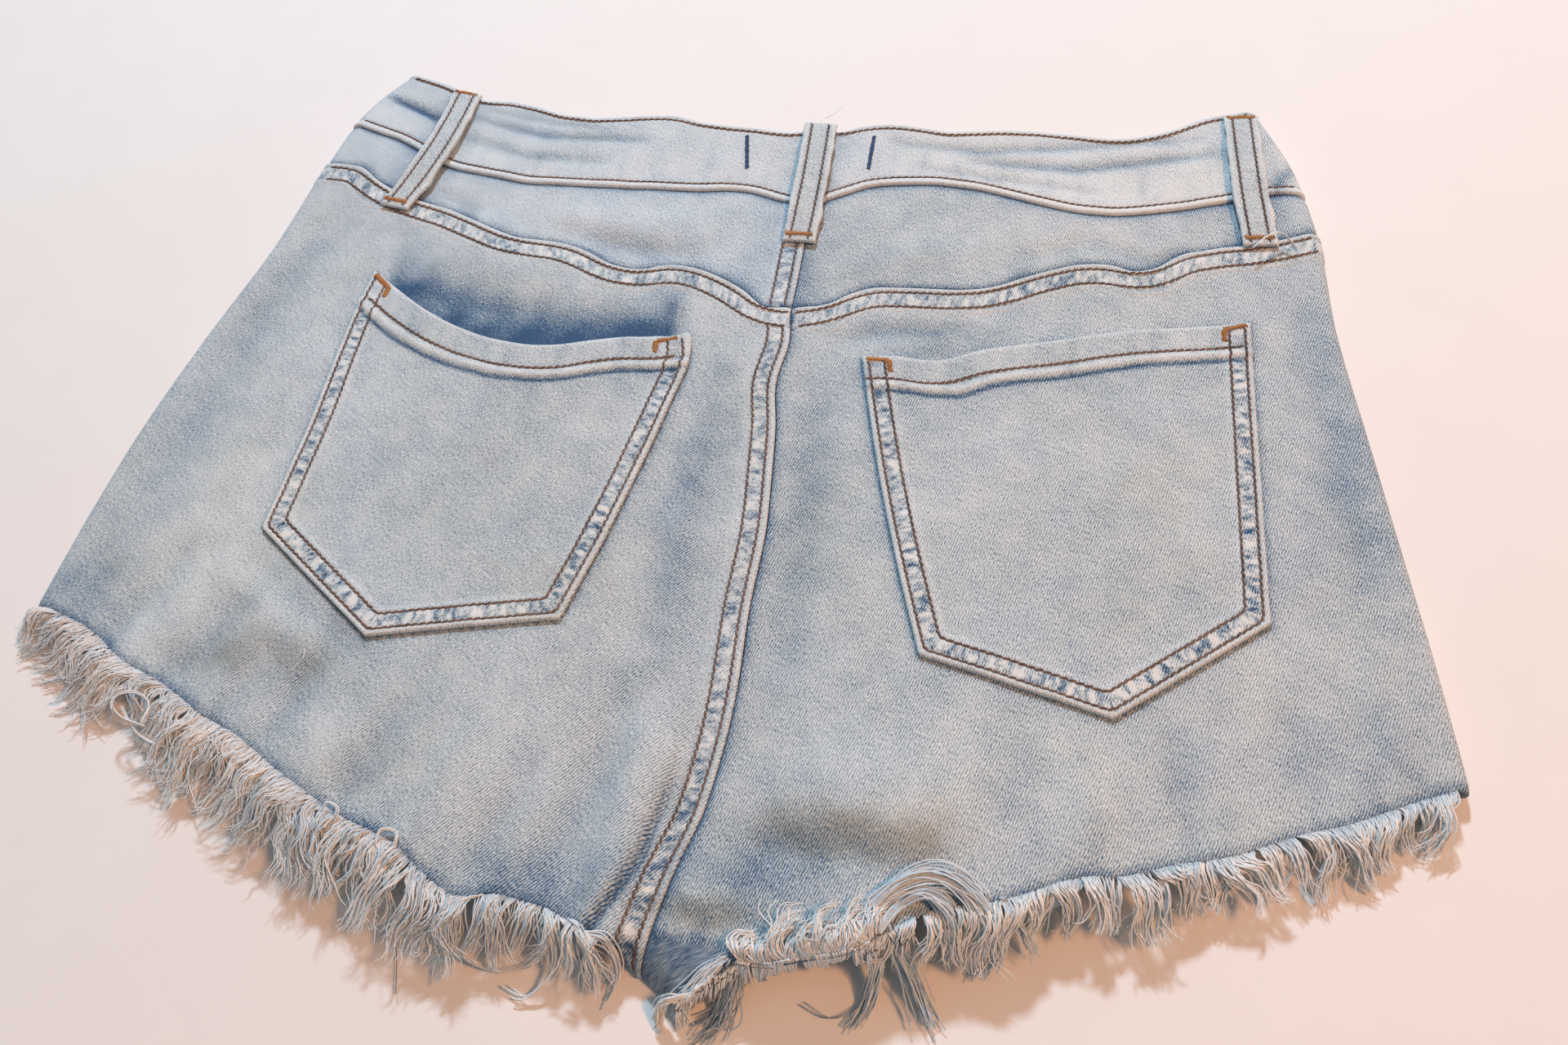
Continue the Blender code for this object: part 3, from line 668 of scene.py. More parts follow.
class Nodes:
    """Short calls for the nodes of a material."""

    def __init__(self, name):
        self.material = bpy.data.materials.new(name)
        self.material.use_nodes = True
        self.tree = self.material.node_tree
        self.shader = self.tree.nodes["Principled BSDF"]

    def put(self, socket, value):
        """Links a node's output to a socket, or sets its value."""
        if isinstance(value, bpy.types.NodeSocket):
            self.tree.links.new(value, socket)
        elif value is not None:
            socket.default_value = value

    def attribute(self, name, output="Fac"):
        """A named attribute of the mesh."""
        node = self.tree.nodes.new("ShaderNodeAttribute")
        node.attribute_name = name
        return node.outputs[output]

    def math(self, operation, a, b=None, c=None, clamp=False):
        """One sum."""
        node = self.tree.nodes.new("ShaderNodeMath")
        node.operation = operation
        node.use_clamp = clamp
        self.put(node.inputs[0], a)
        self.put(node.inputs[1], b)
        self.put(node.inputs[2], c)
        return node.outputs[0]

    def about(self, value, gain):
        """A noise less its middle, times a gain."""
        return self.math("MULTIPLY", self.math("SUBTRACT", value, 0.5), gain)

    def place(self):
        """Place on the object."""
        return self.tree.nodes.new("ShaderNodeTexCoord").outputs["Object"]

    def coloured(self, value, stops):
        """Gives the surface these colours along a value."""
        self.put(self.shader.inputs["Base Color"], self.ramp(value, stops))

    def mapped(self, vector, rotation=0.0, scale=(1, 1, 1)):
        """A vector turned about Z and scaled."""
        node = self.tree.nodes.new("ShaderNodeMapping")
        self.put(node.inputs["Vector"], vector)
        node.inputs["Rotation"].default_value = (0, 0, rotation)
        node.inputs["Scale"].default_value = scale
        return node.outputs[0]

    def noise(self, vector, scale, detail=2.0, roughness=0.55):
        """Noise, centred on 0.5."""
        node = self.tree.nodes.new("ShaderNodeTexNoise")
        self.put(node.inputs["Vector"], vector)
        node.inputs["Scale"].default_value = scale
        node.inputs["Detail"].default_value = detail
        node.inputs["Roughness"].default_value = roughness
        return node.outputs["Fac"]

    def ramp(self, value, stops):
        """Colours along a value."""
        node = self.tree.nodes.new("ShaderNodeValToRGB")
        self.put(node.inputs["Fac"], value)
        elements = node.color_ramp.elements
        while len(elements) < len(stops):
            elements.new(0.5)
        for element, (position, colour) in zip(elements, stops):
            element.position = position
            element.color = (*colour, 1.0)
        return node.outputs["Color"]

    def mix(self, factor, a, b, blend="MIX"):
        """Two colours mixed."""
        node = self.tree.nodes.new("ShaderNodeMix")
        node.data_type = "RGBA"
        node.blend_type = blend
        self.put(node.inputs["Factor"], factor)
        self.put(node.inputs["A"], a)
        self.put(node.inputs["B"], b)
        return node.outputs["Result"]

    def bump(self, height, distance, strength=1.0):
        """Bump of this height in metres."""
        node = self.tree.nodes.new("ShaderNodeBump")
        node.inputs["Strength"].default_value = strength
        node.inputs["Distance"].default_value = distance
        self.put(node.inputs["Height"], height)
        self.tree.links.new(node.outputs["Normal"], self.shader.inputs["Normal"])

    def finish(self, roughness, sheen=0.0, specular=0.3, metallic=0.0):
        """Constants of the surface."""
        self.shader.inputs["Roughness"].default_value = roughness
        self.shader.inputs["Sheen Weight"].default_value = sheen
        self.shader.inputs["Sheen Roughness"].default_value = 0.5
        self.shader.inputs["Specular IOR Level"].default_value = specular
        self.shader.inputs["Metallic"].default_value = metallic
        return self.material


# Colours of the cloth, from the unfaded blue to the worn edges.
DENIM_STOPS = (
    (0.0, (0.04, 0.095, 0.19)),
    (0.2, (0.115, 0.205, 0.32)),
    (0.42, (0.33, 0.405, 0.455)),
    (0.62, (0.515, 0.585, 0.62)),
    (0.8, (0.675, 0.725, 0.74)),
    (1.0, (0.82, 0.83, 0.81)),
)
WRONG_STOPS = (
    (0.0, (0.30, 0.36, 0.42)),
    (0.5, (0.60, 0.63, 0.65)),
    (1.0, (0.82, 0.81, 0.78)),
)


# Tint by warmth, from cool blue through plain to grey-brown; the grey-brown end also paints the shade of the hollow
# above the right leg's turned hem.
TINT_STOPS = (
    (0.0, (0.87, 0.98, 1.1)),
    (0.4, (0.965, 1.0, 1.045)),
    (0.6, (0.985, 1.0, 1.0)),
    (1.0, (0.74, 0.69, 0.63)),
)
FRAY_STOPS = (
    (0.0, (0.12, 0.21, 0.33)),
    (0.25, (0.40, 0.51, 0.62)),
    (0.55, (0.68, 0.78, 0.85)),
    (0.8, (0.84, 0.90, 0.94)),
    (1.0, (0.93, 0.94, 0.93)),
)
BRASS_STOPS = ((0.35, (0.17, 0.10, 0.05)), (0.7, (0.46, 0.33, 0.18)))
PAPER_STOPS = ((0.3, (0.885, 0.875, 0.87)), (0.7, (0.9, 0.89, 0.885)))


def denim(name, stops, base, faded=1.0):
    """Twill cloth. base is its tone without wear, and faded how strongly that varies."""
    n = Nodes(name)
    weave = n.attribute("weave", "Vector")
    split = n.tree.nodes.new("ShaderNodeSeparateXYZ")
    n.put(split.inputs[0], weave)
    stray = n.noise(weave, 0.35, 2.0)
    across = n.math("ADD", split.outputs["X"], n.math("MULTIPLY", stray, 1.1))
    line = n.math("SINE", n.math("MULTIPLY", across, 2 * math.pi / TWILL_PITCH))
    yarn = n.noise(n.mapped(weave, 0, (2.3, 0.95, 1.0)), 1.0, 1.0, 0.5)
    broken = n.noise(n.mapped(weave, 0, (1.3, 0.5, 1.0)), 1.0, 1.0, 0.5)
    line = n.math("MULTIPLY", line, n.math("MULTIPLY", broken, 2.0))
    slub = n.noise(n.mapped(weave, -math.radians(GRAIN_FROM_TWILL), (0.05, 0.9, 1.0)), 1.0, 2.0, 0.6)
    patch = n.noise(weave, 0.09, 3.0, 0.6)
    broad = n.noise(weave, 0.022, 2.0, 0.5)
    tone = n.math("MULTIPLY_ADD", line, 0.19, base)
    for part, gain in ((yarn, 1.2), (slub, 0.16), (patch, 0.36), (broad, 0.22)):
        tone = n.math("ADD", tone, n.about(part, gain * faded))
    knots = n.noise(n.mapped(n.attribute("seam", "Vector"), 0.5, (0.36, 0.17, 1.0)), 1.0, 2.0, 0.55)
    knot = n.math("MULTIPLY", n.about(knots, 3.1), n.attribute("rope"))
    tone = n.math("ADD", tone, n.math("MULTIPLY", knot, faded))
    tone = n.math("ADD", tone, n.math("MULTIPLY", n.attribute("worn"), 0.27 * faded))
    # deep turns the tone towards unfaded blue; it also carries painted shade from creases, edges and hollows.
    tone = n.math("SUBTRACT", tone, n.math("MULTIPLY", n.attribute("deep"), 0.42 * faded), clamp=True)
    warm = n.math("MULTIPLY_ADD", n.noise(weave, 0.03, 2.0, 0.5), 0.5, 0.25)
    tint = n.ramp(n.math("ADD", warm, n.attribute("warm"), clamp=True), TINT_STOPS)
    n.put(n.shader.inputs["Base Color"], n.mix(1.0, n.ramp(tone, stops), tint, "MULTIPLY"))
    n.bump(yarn, 0.00032)
    return n.finish(0.9, sheen=0.12, specular=0.2)


def thread(name, dark, light, rough=0.75):
    """Sewing thread, a little uneven in colour."""
    n = Nodes(name)
    place = n.place()
    uneven, slow = n.noise(place, 900.0, 2.0), n.noise(place, 60.0, 2.0)
    both = n.math("ADD", n.math("MULTIPLY", uneven, 0.5), n.math("MULTIPLY", slow, 0.5))
    n.coloured(both, ((0.35, dark), (0.65, light)))
    n.bump(uneven, 0.0001)
    return n.finish(rough, sheen=0.1, specular=0.35)


def fray():
    """Loose threads of the fringe: each has a tone, and more blue near its root."""
    n = Nodes("frayed_thread")
    uneven = n.noise(n.place(), 500.0, 2.0)
    n.coloured(n.math("ADD", n.attribute("tone"), n.about(uneven, 0.35), clamp=True), FRAY_STOPS)
    n.bump(uneven, 0.00008)
    return n.finish(0.85, sheen=0.6, specular=0.25)


def brass():
    """Plain antique brass, darker where it isn't rubbed."""
    n = Nodes("antique_brass")
    wear = n.noise(n.place(), 260.0, 4.0)
    n.coloured(wear, BRASS_STOPS)
    n.bump(wear, 0.00005)
    return n.finish(0.38, specular=0.5, metallic=0.95)


def paper():
    """Plain pale floor."""
    n = Nodes("pale_floor")
    n.coloured(n.noise(n.place(), 30.0, 3.0), PAPER_STOPS)
    return n.finish(0.8, specular=0.2)


DENIM = denim("light_wash_denim", DENIM_STOPS, 0.635)
WRONG = denim("denim_wrong_side", WRONG_STOPS, 0.55, 0.55)
ROW_THREAD = thread("topstitch_brown", (0.095, 0.058, 0.047), (0.255, 0.175, 0.145))
TACK_THREAD = thread("bartack_orange", (0.36, 0.15, 0.045), (0.58, 0.29, 0.10))
BLUE_THREAD = thread("tack_blue", (0.02, 0.055, 0.17), (0.06, 0.13, 0.30))
FRAY = fray()


# ---------------------------------------------------------------- cloth pieces

# Steps down a piece: its length, the lengths of its first and last stretch, and the step on each.
PANEL_DOWNS = (220, 13.5, 8.0, 0.7, 1.95, 0.9)
YOKE_DOWNS = (50, 3.0, 4.0, 0.8, 1.3, 0.8)
BAND_DOWNS = (36, 3.2, 7.0, 0.7, 1.15, 0.62)
BAND_SHARES = 165
POCKET_CELLS = 118
POCKET_SIDE_POINTS = 13
FORK_STEPS = 26
FORK_CELL = 0.85
FORK_REACH = 225
FRONT_FORK_SHARES = 7
FRONT_DOWNS = 64
FRONT_BAND_DOWNS = 16
PANEL_SHARES = 124
SHARE_SPREAD = 1.12
ROLL_STEPS = 9


def fine_shares(side, count=PANEL_SHARES):
    """Shares from the seam to the fold, with one at the edge of the fork."""
    fork = FORK_SHARE[side]
    over = np.linspace(0, fork, int(round(fork * FORK_REACH / FORK_CELL)) + 1)
    rest = fork + (1 - fork) * np.linspace(0, 1, count + 1)[1:] ** SHARE_SPREAD
    return np.concatenate((over, rest)), len(over)


def fine_downs(length, near, far, near_step, step, far_step):
    """Positions from 0 to 1 down a piece, closer over its first and last stretch."""
    a = np.arange(0, near, near_step)
    b = np.arange(near, length - far, step)
    c = np.linspace(length - far, length, int(far / far_step) + 1)
    return np.unique(np.concatenate((a, b, c))) / length


def back_grid(side, upper, lower, shares, downs, wall):
    """Points of a back piece between two named lines, and each one's x with the roll laid flat."""
    away = AWAY[side]
    top = line_y(upper, side, shares) - SEAM_GAP / 2
    foot = line_y(lower, side, shares) + SEAM_GAP / 2
    y = top + (foot - top) * downs[:, None]
    share = np.broadcast_to(shares, y.shape)
    x = plan(side, share, y, wall) + away * SEAM_GAP / 2 * (1 - share)
    last_y = y[:, -1:]
    radius, turn = fold_radius(last_y, wall), run_end(side, last_y, wall)
    angles = np.linspace(0, math.pi, ROLL_STEPS + 1)[1:]
    tail = np.array((0.5, 1.0)) * FOLD_TAIL
    roll_x = np.concatenate((turn + away * radius * np.sin(angles), turn - away * tail), axis=1)
    roll_z = np.concatenate((wall / 2 + radius * (1 + np.cos(angles)), np.full((len(y), 2), wall / 2)), axis=1)
    roll_y = np.repeat(last_y, roll_x.shape[1], axis=1)
    both = ((x, roll_x), (y, roll_y), (back_height(x, y), roll_z))
    points = np.stack([np.concatenate(pair, axis=1) for pair in both], axis=-1)
    flat = np.concatenate((x, turn + away * radius * angles, turn + away * (radius * math.pi + tail)), axis=1)
    return points, flat


def roll_fade(level):
    """Share of the relief that is left on each column: none where the cloth has rolled under."""
    angles = np.linspace(0, math.pi, ROLL_STEPS + 1)[1:]
    return np.concatenate((np.ones(level), np.clip(1 + 1.6 * np.cos(angles), 0, 1), np.zeros(2)))


def line_slope(points_row):
    """Cosine of a row's slope on the plan, so that heights become distances from it."""
    dx = np.gradient(points_row[:, 0])
    dy = np.gradient(points_row[:, 1])
    return np.clip(np.abs(dx) / np.maximum(np.hypot(dx, dy), 1e-9), 0.5, 1.0)


def back_piece(kind, side, upper, lower, downs, dress, fork=False):
    """One fine shell of the back: dress adds its seams, wear and painted shade."""
    shares, over = fine_shares(side)
    level = len(shares)
    points, flat = back_grid(side, upper, lower, shares, fine_downs(*downs), WALL)
    x, y = points[:, :, 0], points[:, :, 1]
    slopes = line_slope(points[0]), line_slope(points[-1])
    for slope in slopes:
        slope[level:] = slope[level - 1]
    look = Look(x.shape)
    # Bluer in the troughs of the creases: unfaded blue and painted shade.
    look.deep += 0.22 * crease_sum(x, y)[1]
    dress(side, look, flat, y, (y[0] - y) * slopes[0], (y - y[-1]) * slopes[1], np.abs(flat - seam_x(y)))
    look.relief *= roll_fade(level)
    name = kind + side
    rows, weave = list(points), list(turned(flat, y, TWILL[name]))
    looks = {key: list(value) for key, value in vars(look).items()}
    if fork:
        add_fork(side, over, rows, looks, weave)
    return cloth(name, rows, looks, weave, WALL, WRONG)


def panel_dress(side, look, x, y, d_top, d_foot, d_seam):
    """Seams, wear and painted shade of a back leg panel."""
    left = side == "left"
    look.felled(d_top, x, 11 if left else 12, rough=0.75)
    if left:
        look.felled(d_seam, y, 13, SEAM_NEAR, SEAM_FAR, SEAM_FELL, rough=0.8, within=d_top > 10.6)
        # Painted shadow in the sharp step below the left leg's overhang.
        look.deep += 1.1 * smoothstep((-y - 268) / 30) * bell(overhang_off(x, y), -0.6, 1.5)
    else:
        # Painted contact shade beside the seam, and a soft painted valley shade to its right.
        look.shadowed(d_seam, 1.15, 1.7)
        look.deep += 0.05 * bell(d_seam, 14, 12) * smoothstep((-y - 100) / 60)
    look.deep += (0.75 + 0.3 * waves(x, 31, 4, 19)) * bell(d_foot, 0, 2.6)
    look.deep += 0.25 * np.clip(waves(x, 33, 9, 40), 0, 1) * bell(d_foot, 4, 9)
    look.relief -= 0.3 * bell(d_foot, 0, 1.6)
    # Painted shadow on the panel above the pocket mouth, deepest under the left one's sag.
    (ix, iy), (ox, oy) = POCKETS[side][:2]
    across = np.clip((x - ix) / (ox - ix), -0.2, 1.2)
    mouth = iy + (oy - iy) * across - POCKET_SAG[side] * np.sin(math.pi * np.clip(across, 0, 1))
    inside = smoothstep(across / 0.12) * smoothstep((1 - across) / 0.1)
    above = y - mouth
    reach = np.where(above > 0, 18 if left else 4, 14)
    uneven = 1 + 0.35 * ripple(x, y, 47, 12, 40)
    look.deep += (1.7 if left else 0.45) * uneven * inside * bell(above, 0, reach)
    if left:
        look.deep += 0.5 * bell(x, -40.5, 2.2) * smoothstep((-y - 88) / 8) * smoothstep((y + 122) / 8)
        look.deep += 0.4 * bell(x, -52, 12) * bell(y, -112, 9)
    # Painted contact shade and unfaded blue round the pocket's outline.
    beside, _, _ = nearest_on(x, y, pocket_chain(side))
    look.deep += 0.2 * np.exp(-beside / 2.5) + 0.9 * np.exp(-beside / 0.9)
    look.patched(x, y, 0.0)


def add_fork(side, count, rows, looks, weave):
    """Adds the rows of the fork below the hem line, down to the table."""
    hem, first = rows[-1][:count], weave[-1][:count]
    base = {key: value[-1][:count] for key, value in looks.items()}
    seam_foot = seam_x(CROTCH_Y) + AWAY[side] * SEAM_GAP / 2
    part = np.linspace(0, 1, count)
    foot_x = seam_foot + (FORK_FOOT_X[side] - seam_foot) * part
    for step in range(1, FORK_STEPS + 1):
        down = math.sin(math.pi / 2 * step / FORK_STEPS)
        x = hem[:, 0] + (foot_x - hem[:, 0]) * down
        y = hem[:, 1] + (crotch_y(foot_x) - hem[:, 1]) * down
        rows.append(np.stack((x, y, back_height(x, y)), axis=1))
        weave.append(first + np.stack((y - hem[:, 1], 0.3 * (y - hem[:, 1]), 0 * y), axis=1))
        for key, value in base.items():
            looks[key].append(value.copy())
        # The fork turns down to the table in shade: its darker blue is unfaded blue and painted shade.
        if side == "left":
            looks["deep"][-1] = base["deep"] * 0.4 + 0.3
            looks["seam"][-1][:, 0] = y
        else:
            looks["deep"][-1] = base["deep"] * 0.4 + 0.55 + 0.3 * bell(part, 1, 0.12)


def off_loop(x, y, ends):
    """Distance across from the middle line of a belt loop."""
    (x0, y0), (x1, y1) = ends
    return np.abs(x - (x0 + (x1 - x0) * np.clip((y0 - y) / (y0 - y1), 0, 1)))


def yoke_dress(side, look, x, y, d_top, d_foot, d_seam):
    """Seams, wear and painted shade of a back yoke."""
    left = side == "left"
    if left:
        look.felled(d_seam, y, 14, SEAM_NEAR, SEAM_FAR, FELL, rough=0.8)
    else:
        # Painted contact shade beside the seam.
        look.shadowed(d_seam, 0.6, 2.5)
    # Painted contact shade under the band and above the yoke seam.
    look.shadowed(d_top, 1.5, 1.3)
    look.shadowed(d_foot, 1.4, 1.2)
    look.relief -= 0.5 * bell(d_top, 0, 1.6) + 0.4 * bell(d_foot, 0, 1.4)
    look.deep += 0.3 * bell(d_seam, 0, 16) * smoothstep((-y - 36) / 8)
    look.deep += 0.4 * bell(d_foot, 0, 7) * np.clip(waves(x, 41, 20, 70), 0, 1)
    for name in ("belt_loop_back_left", "belt_loop_back_right"):
        ends = BACK_LOOPS[name]
        look.deep += 0.75 * bell(off_loop(x, y, ends), 0, 11) * smoothstep((y - ends[1][1] + 6) / 8)
    look.patched(x, y, -0.18 if left else -0.02)
    look.warm -= 0.24 if left else 0.04


def band_piece():
    """Back waistband: one folded piece from side seam to side seam."""
    shares = np.linspace(0, 1, BAND_SHARES)
    halves = [back_grid(side, "waist", "band_seam", shares, fine_downs(*BAND_DOWNS), BAND_WALL) for side in AWAY]
    points, x = (
        np.concatenate((left[:, :0:-1], (left[:, :1] + right[:, :1]) / 2, right[:, 1:]), axis=1)
        for left, right in zip(*halves)
    )
    y = points[:, :, 1]
    slope = line_slope(points[-1])
    slope[: ROLL_STEPS + 3] = 1.0
    slope[-ROLL_STEPS - 3:] = 1.0
    d_top = y[0] - y
    d_foot = (y - y[-1]) * slope
    look = Look(y.shape)
    # Bluer in the troughs of the drag lines: unfaded blue and painted shade.
    look.deep += 1.1 * crease_sum(points[:, :, 0], y)[1]
    look.folded(d_foot, x, 51)
    look.relief += 0.25 * bell(d_top, 1.0, 1.0) - 0.3 * bell(d_top, WAIST_ROW, 0.5)
    look.worn += 0.5 * bell(d_top, 0.5, 1.0) + 0.28 * bell(d_foot, 9, 6)
    look.deep += 0.3 * bell(d_top, WAIST_ROW, 0.7)
    look.deep += 0.28 * np.clip(waves(x, 55, 6, 24), 0, 1) * bell(d_foot, 11, 7)
    for ends in BACK_LOOPS.values():
        look.deep += 0.75 * bell(off_loop(x, y, ends), 0, 10)
    look.patched(x, y, -0.3)
    look.deep -= 0.2 * smoothstep(x / 60)
    look.warm += 0.12 * smoothstep(x / 60) - 0.2
    fade = roll_fade(BAND_SHARES - 1)
    look.relief *= np.concatenate((fade[::-1], (1.0,), fade))
    weave = turned(x, y, TWILL["waistband_back"])
    return cloth("waistband_back", points, vars(look), weave, BAND_WALL, DENIM)


def pocket_plan(side, across, down):
    """Plan position inside a pocket: across from inner to outer, down from top to foot."""
    corner = {k: np.array(v, dtype=float) for k, v in zip(POCKET_COLUMNS, POCKETS[side])}
    across, down = across[..., None], down[..., None]
    top = corner["inner_top"] + (corner["outer_top"] - corner["inner_top"]) * across
    sag = POCKET_SAG[side] * np.sin(math.pi * across)
    if side == "left":
        sag = sag - 3.6 * bell(across, 0.22, 0.13) - 2.4 * bell(across, 1.0, 0.16)
        outward = 5.0 * np.clip(down * 9, 0, 1) ** 0.5 * (1 - 0.7 * down**3) * (1 - across) ** 1.4
        outward = outward - 2.3 * bell(down, 0.2, 0.28) * across**2
    else:
        sag = sag + 4.0 * bell(across, 0.2, 0.09) - 3.0 * bell(across, 0.68, 0.2)
        outward = -1.8 * np.sin(math.pi * down) * (1 - across) ** 2
    top = top - np.concatenate((np.zeros_like(sag), sag), axis=-1)
    inner = corner["inner_low"] + (corner["tip"] - corner["inner_low"]) * np.clip(across * 2, 0, 1)
    foot = inner + (corner["outer_low"] - corner["tip"]) * np.clip(across * 2 - 1, 0, 1)
    return top + (foot - top) * down + np.concatenate((outward, np.zeros_like(outward)), axis=-1)


def pocket_chain(side):
    """The sewn outline of a pocket, from the inner end of its mouth round to the outer one."""
    steps = np.linspace(0, 1, POCKET_SIDE_POINTS)
    inner = pocket_plan(side, 0 * steps, steps)
    outer = pocket_plan(side, 0 * steps + 1, steps[::-1])
    tip = pocket_plan(side, np.array((0.5,)), np.ones(1))
    return np.concatenate((inner, tip, outer)).tolist()


def pocket_piece(side):
    """Back pocket: turned edges with two rows of stitches and a folded mouth."""
    even = np.linspace(0, 1, POCKET_CELLS + 1)
    steps = even - 0.045 * np.sin(2 * math.pi * even)
    across, down = np.meshgrid(steps, steps)
    place = pocket_plan(side, across, down)
    x, y = place[..., 0], place[..., 1]
    d_edge, s_edge, _ = nearest_on(x, y, pocket_chain(side))
    mouth = pocket_plan(side, steps, 0 * steps)
    d_mouth = (mouth[:, 1] - y) * line_slope(mouth)
    look = Look(x.shape)
    look.felled(d_edge, s_edge, 61 if side == "left" else 62, POCKET_ROW_NEAR, POCKET_ROW_FAR, POCKET_FELL, 0.4)
    hem = 1 - smoothstep((d_mouth - MOUTH_HEM + 0.5) / 0.9)
    inner = smoothstep((d_edge - 2.0) / 2.0)
    slow = waves(x, 63, 7, 30)
    mouth_relief = 0.45 * hem + 0.7 * bell(d_mouth, 12.7, 1.4) - 0.4 * bell(d_mouth, MOUTH_ROW, 0.55)
    look.relief = np.where(d_mouth < MOUTH_HEM + 2, np.maximum(look.relief * 0.6, 0) + mouth_relief, look.relief)
    look.worn += 0.7 * bell(d_mouth, 0.4, 1.0) + 0.75 * bell(d_mouth, 12.7, 1.5) * inner
    look.worn += 0.2 * hem * np.clip(slow, 0, 1)
    # Painted contact shade under the folded mouth hem.
    look.deep += 1.4 * bell(d_mouth, MOUTH_HEM + 0.7, 0.75) * inner
    look.deep += 0.3 * bell(d_mouth, MOUTH_ROW, 0.7) + 0.25 * hem * np.clip(-slow, 0, 1)
    look.deep += 0.2 * np.exp(-np.maximum(d_mouth - MOUTH_HEM, 0) / 8) * (1 - hem)
    look.rope *= 1 - 0.7 * hem
    look.patched(x, y, 0.0)
    gape = POCKET_GAPE[side] * np.sin(math.pi * across) * (1 - down) ** 4
    puckers = 0.12 * waves(s_edge, 65, 7, 26) * np.exp(-d_edge / 8)
    z = back_height(x, y) + WALL / 2 + SEAM_GAP * 0.6 + POCKET_WALL / 2 + gape + 0.1 + puckers
    name = "back_pocket_" + side
    points = np.stack((x, y, z), axis=-1)
    return cloth(name, points, vars(look), turned(x, y, TWILL[name]), POCKET_WALL, WRONG)


def line_ends(top, foot):
    """Both ends of a straight line, and the unit steps along and across it."""
    top, foot = np.array(top, dtype=float), np.array(foot, dtype=float)
    along = (foot - top) / np.linalg.norm(foot - top)
    return top, foot, along, np.array((-along[1], along[0]))


def strip(top, foot, width, steps, columns):
    """Plan points of a straight strip, and their shares along it and offsets across."""
    top, foot, _, across = line_ends(top, foot)
    share = np.linspace(0, 1, steps + 1)[:, None]
    offset = np.linspace(-width / 2, width / 2, columns + 1)[None, :]
    offset = offset * (1 + 0.05 * waves(share * 60, 81, 7, 40)) + 0.45 * waves(share * 60, 83, 12, 60)
    x = top[0] + (foot[0] - top[0]) * share + across[0] * offset
    y = top[1] + (foot[1] - top[1]) * share + across[1] * offset
    return x, y, share + 0 * offset, offset


def loop_piece(name, top, foot):
    """Belt loop of the back, with turned edges and two rows of stitches."""
    x, y, share, offset = strip(top, foot, LOOP_WIDTH, 84, 20)
    x = x + LOOP_CURVE[name] * np.sin(math.pi * share)
    edge, beside = LOOP_WIDTH / 2 - np.abs(offset), np.abs(offset)
    look = Look(x.shape)
    look.relief = 0.22 * bell(edge, 0.9, 1.0) - 0.28 * bell(beside, LOOP_ROW, 0.55)
    look.relief += 0.12 * waves(share * 62, 71, 4, 13) * bell(offset, 0, 2.2)
    look.worn = 0.75 * bell(edge, 0.4, 1.0) + 0.2 + 0.4 * bell(share, 1.0, 0.03) + 0.3 * bell(share, 0.0, 0.03)
    look.deep = 0.3 * bell(beside, LOOP_ROW, 0.8)
    look.deep += 0.25 * np.clip(waves(share * 62, 73, 3, 12), 0, 1) * bell(offset, 0, 2.4)
    bow = LOOP_RISE * np.sin(math.pi * share) ** 0.7
    z = back_height(x, y) + BAND_WALL / 2 + SEAM_GAP + LOOP_WALL / 2 + bow
    z = z + 0.5 * bell(share, 1.0, 0.12) - 0.25 * np.abs(offset / LOOP_WIDTH * 2) ** 3
    turn = math.degrees(math.atan2(foot[1] - top[1], foot[0] - top[0])) + 90
    points = np.stack((x, y, z), axis=-1)
    return cloth(name, points, vars(look), turned(x, y, turn + 40), LOOP_WALL, DENIM)


def front_dip(share):
    """How far the front waist lies below the back waist."""
    return FRONT_DIP * (1 - share * share)


def front_line(name, side, share):
    """Height of a line on the front layer."""
    if name == "hem":
        return line_y(name, side, share) + FRONT_HEM_RISE * (1 - share**4)
    return line_y(name, side, share) - front_dip(share)


def button_place():
    """Plan position of the waist button, on the left end of the front band."""
    top = front_line("waist", "left", 0.0)
    foot = front_line("band_seam", "left", 0.0)
    return BUTTON_OFFSET, (top + foot) / 2


def front_rest(side, share, y):
    """Height of the underside of the front layer: it stands on the loops and the button."""
    band_foot = line_y("band_seam", side, share) - front_dip(share)
    rest = BAND_REST * smoothstep((y - band_foot + REST_START) / REST_RUN)
    rest = rest * (1 - smoothstep((share - REST_FADE_FROM) / REST_FADE_OVER))
    x = plan(side, share, y)
    off = np.hypot(x - button_place()[0], y - button_place()[1])
    return rest + (BUTTON_RISE - BAND_REST) * np.exp(-((off / BUTTON_SPREAD) ** 2))


FRONT_LIFT = 0.35


def front_grid(side, upper, lower, shares, downs, wall):
    """Points of a front piece between two named lines."""
    away = AWAY[side]
    top = front_line(upper, side, shares) - SEAM_GAP / 2
    foot = front_line(lower, side, shares) + SEAM_GAP / 2
    y = top + (foot - top) * downs[:, None]
    share = np.broadcast_to(shares, y.shape)
    seam = seam_x(y) + away * SEAM_GAP / 2
    end = run_end(side, y, wall) - away * (FOLD_TAIL + SEAM_GAP)
    x = seam + (end - seam) * share
    z = front_rest(side, share, y) + wall / 2 + FRONT_LIFT * smoothstep((1 - share) / 0.04)
    return np.stack((x, y, z), axis=-1)


def front_cloth(name, rows, wall, angle, inner, **fields):
    """A plain piece of the front, outer face down: fields are the parts of its look that aren't 0."""
    flat = np.concatenate(rows)
    look = {key: [np.reshape(fields.get(key, np.zeros(len(flat))), -1)] for key in FIELDS}
    look["seam"] = [np.zeros((len(flat), 3))]
    return cloth(name, rows, look, [turned(flat[:, 0], flat[:, 1], angle)], wall, inner, outer_up=False)


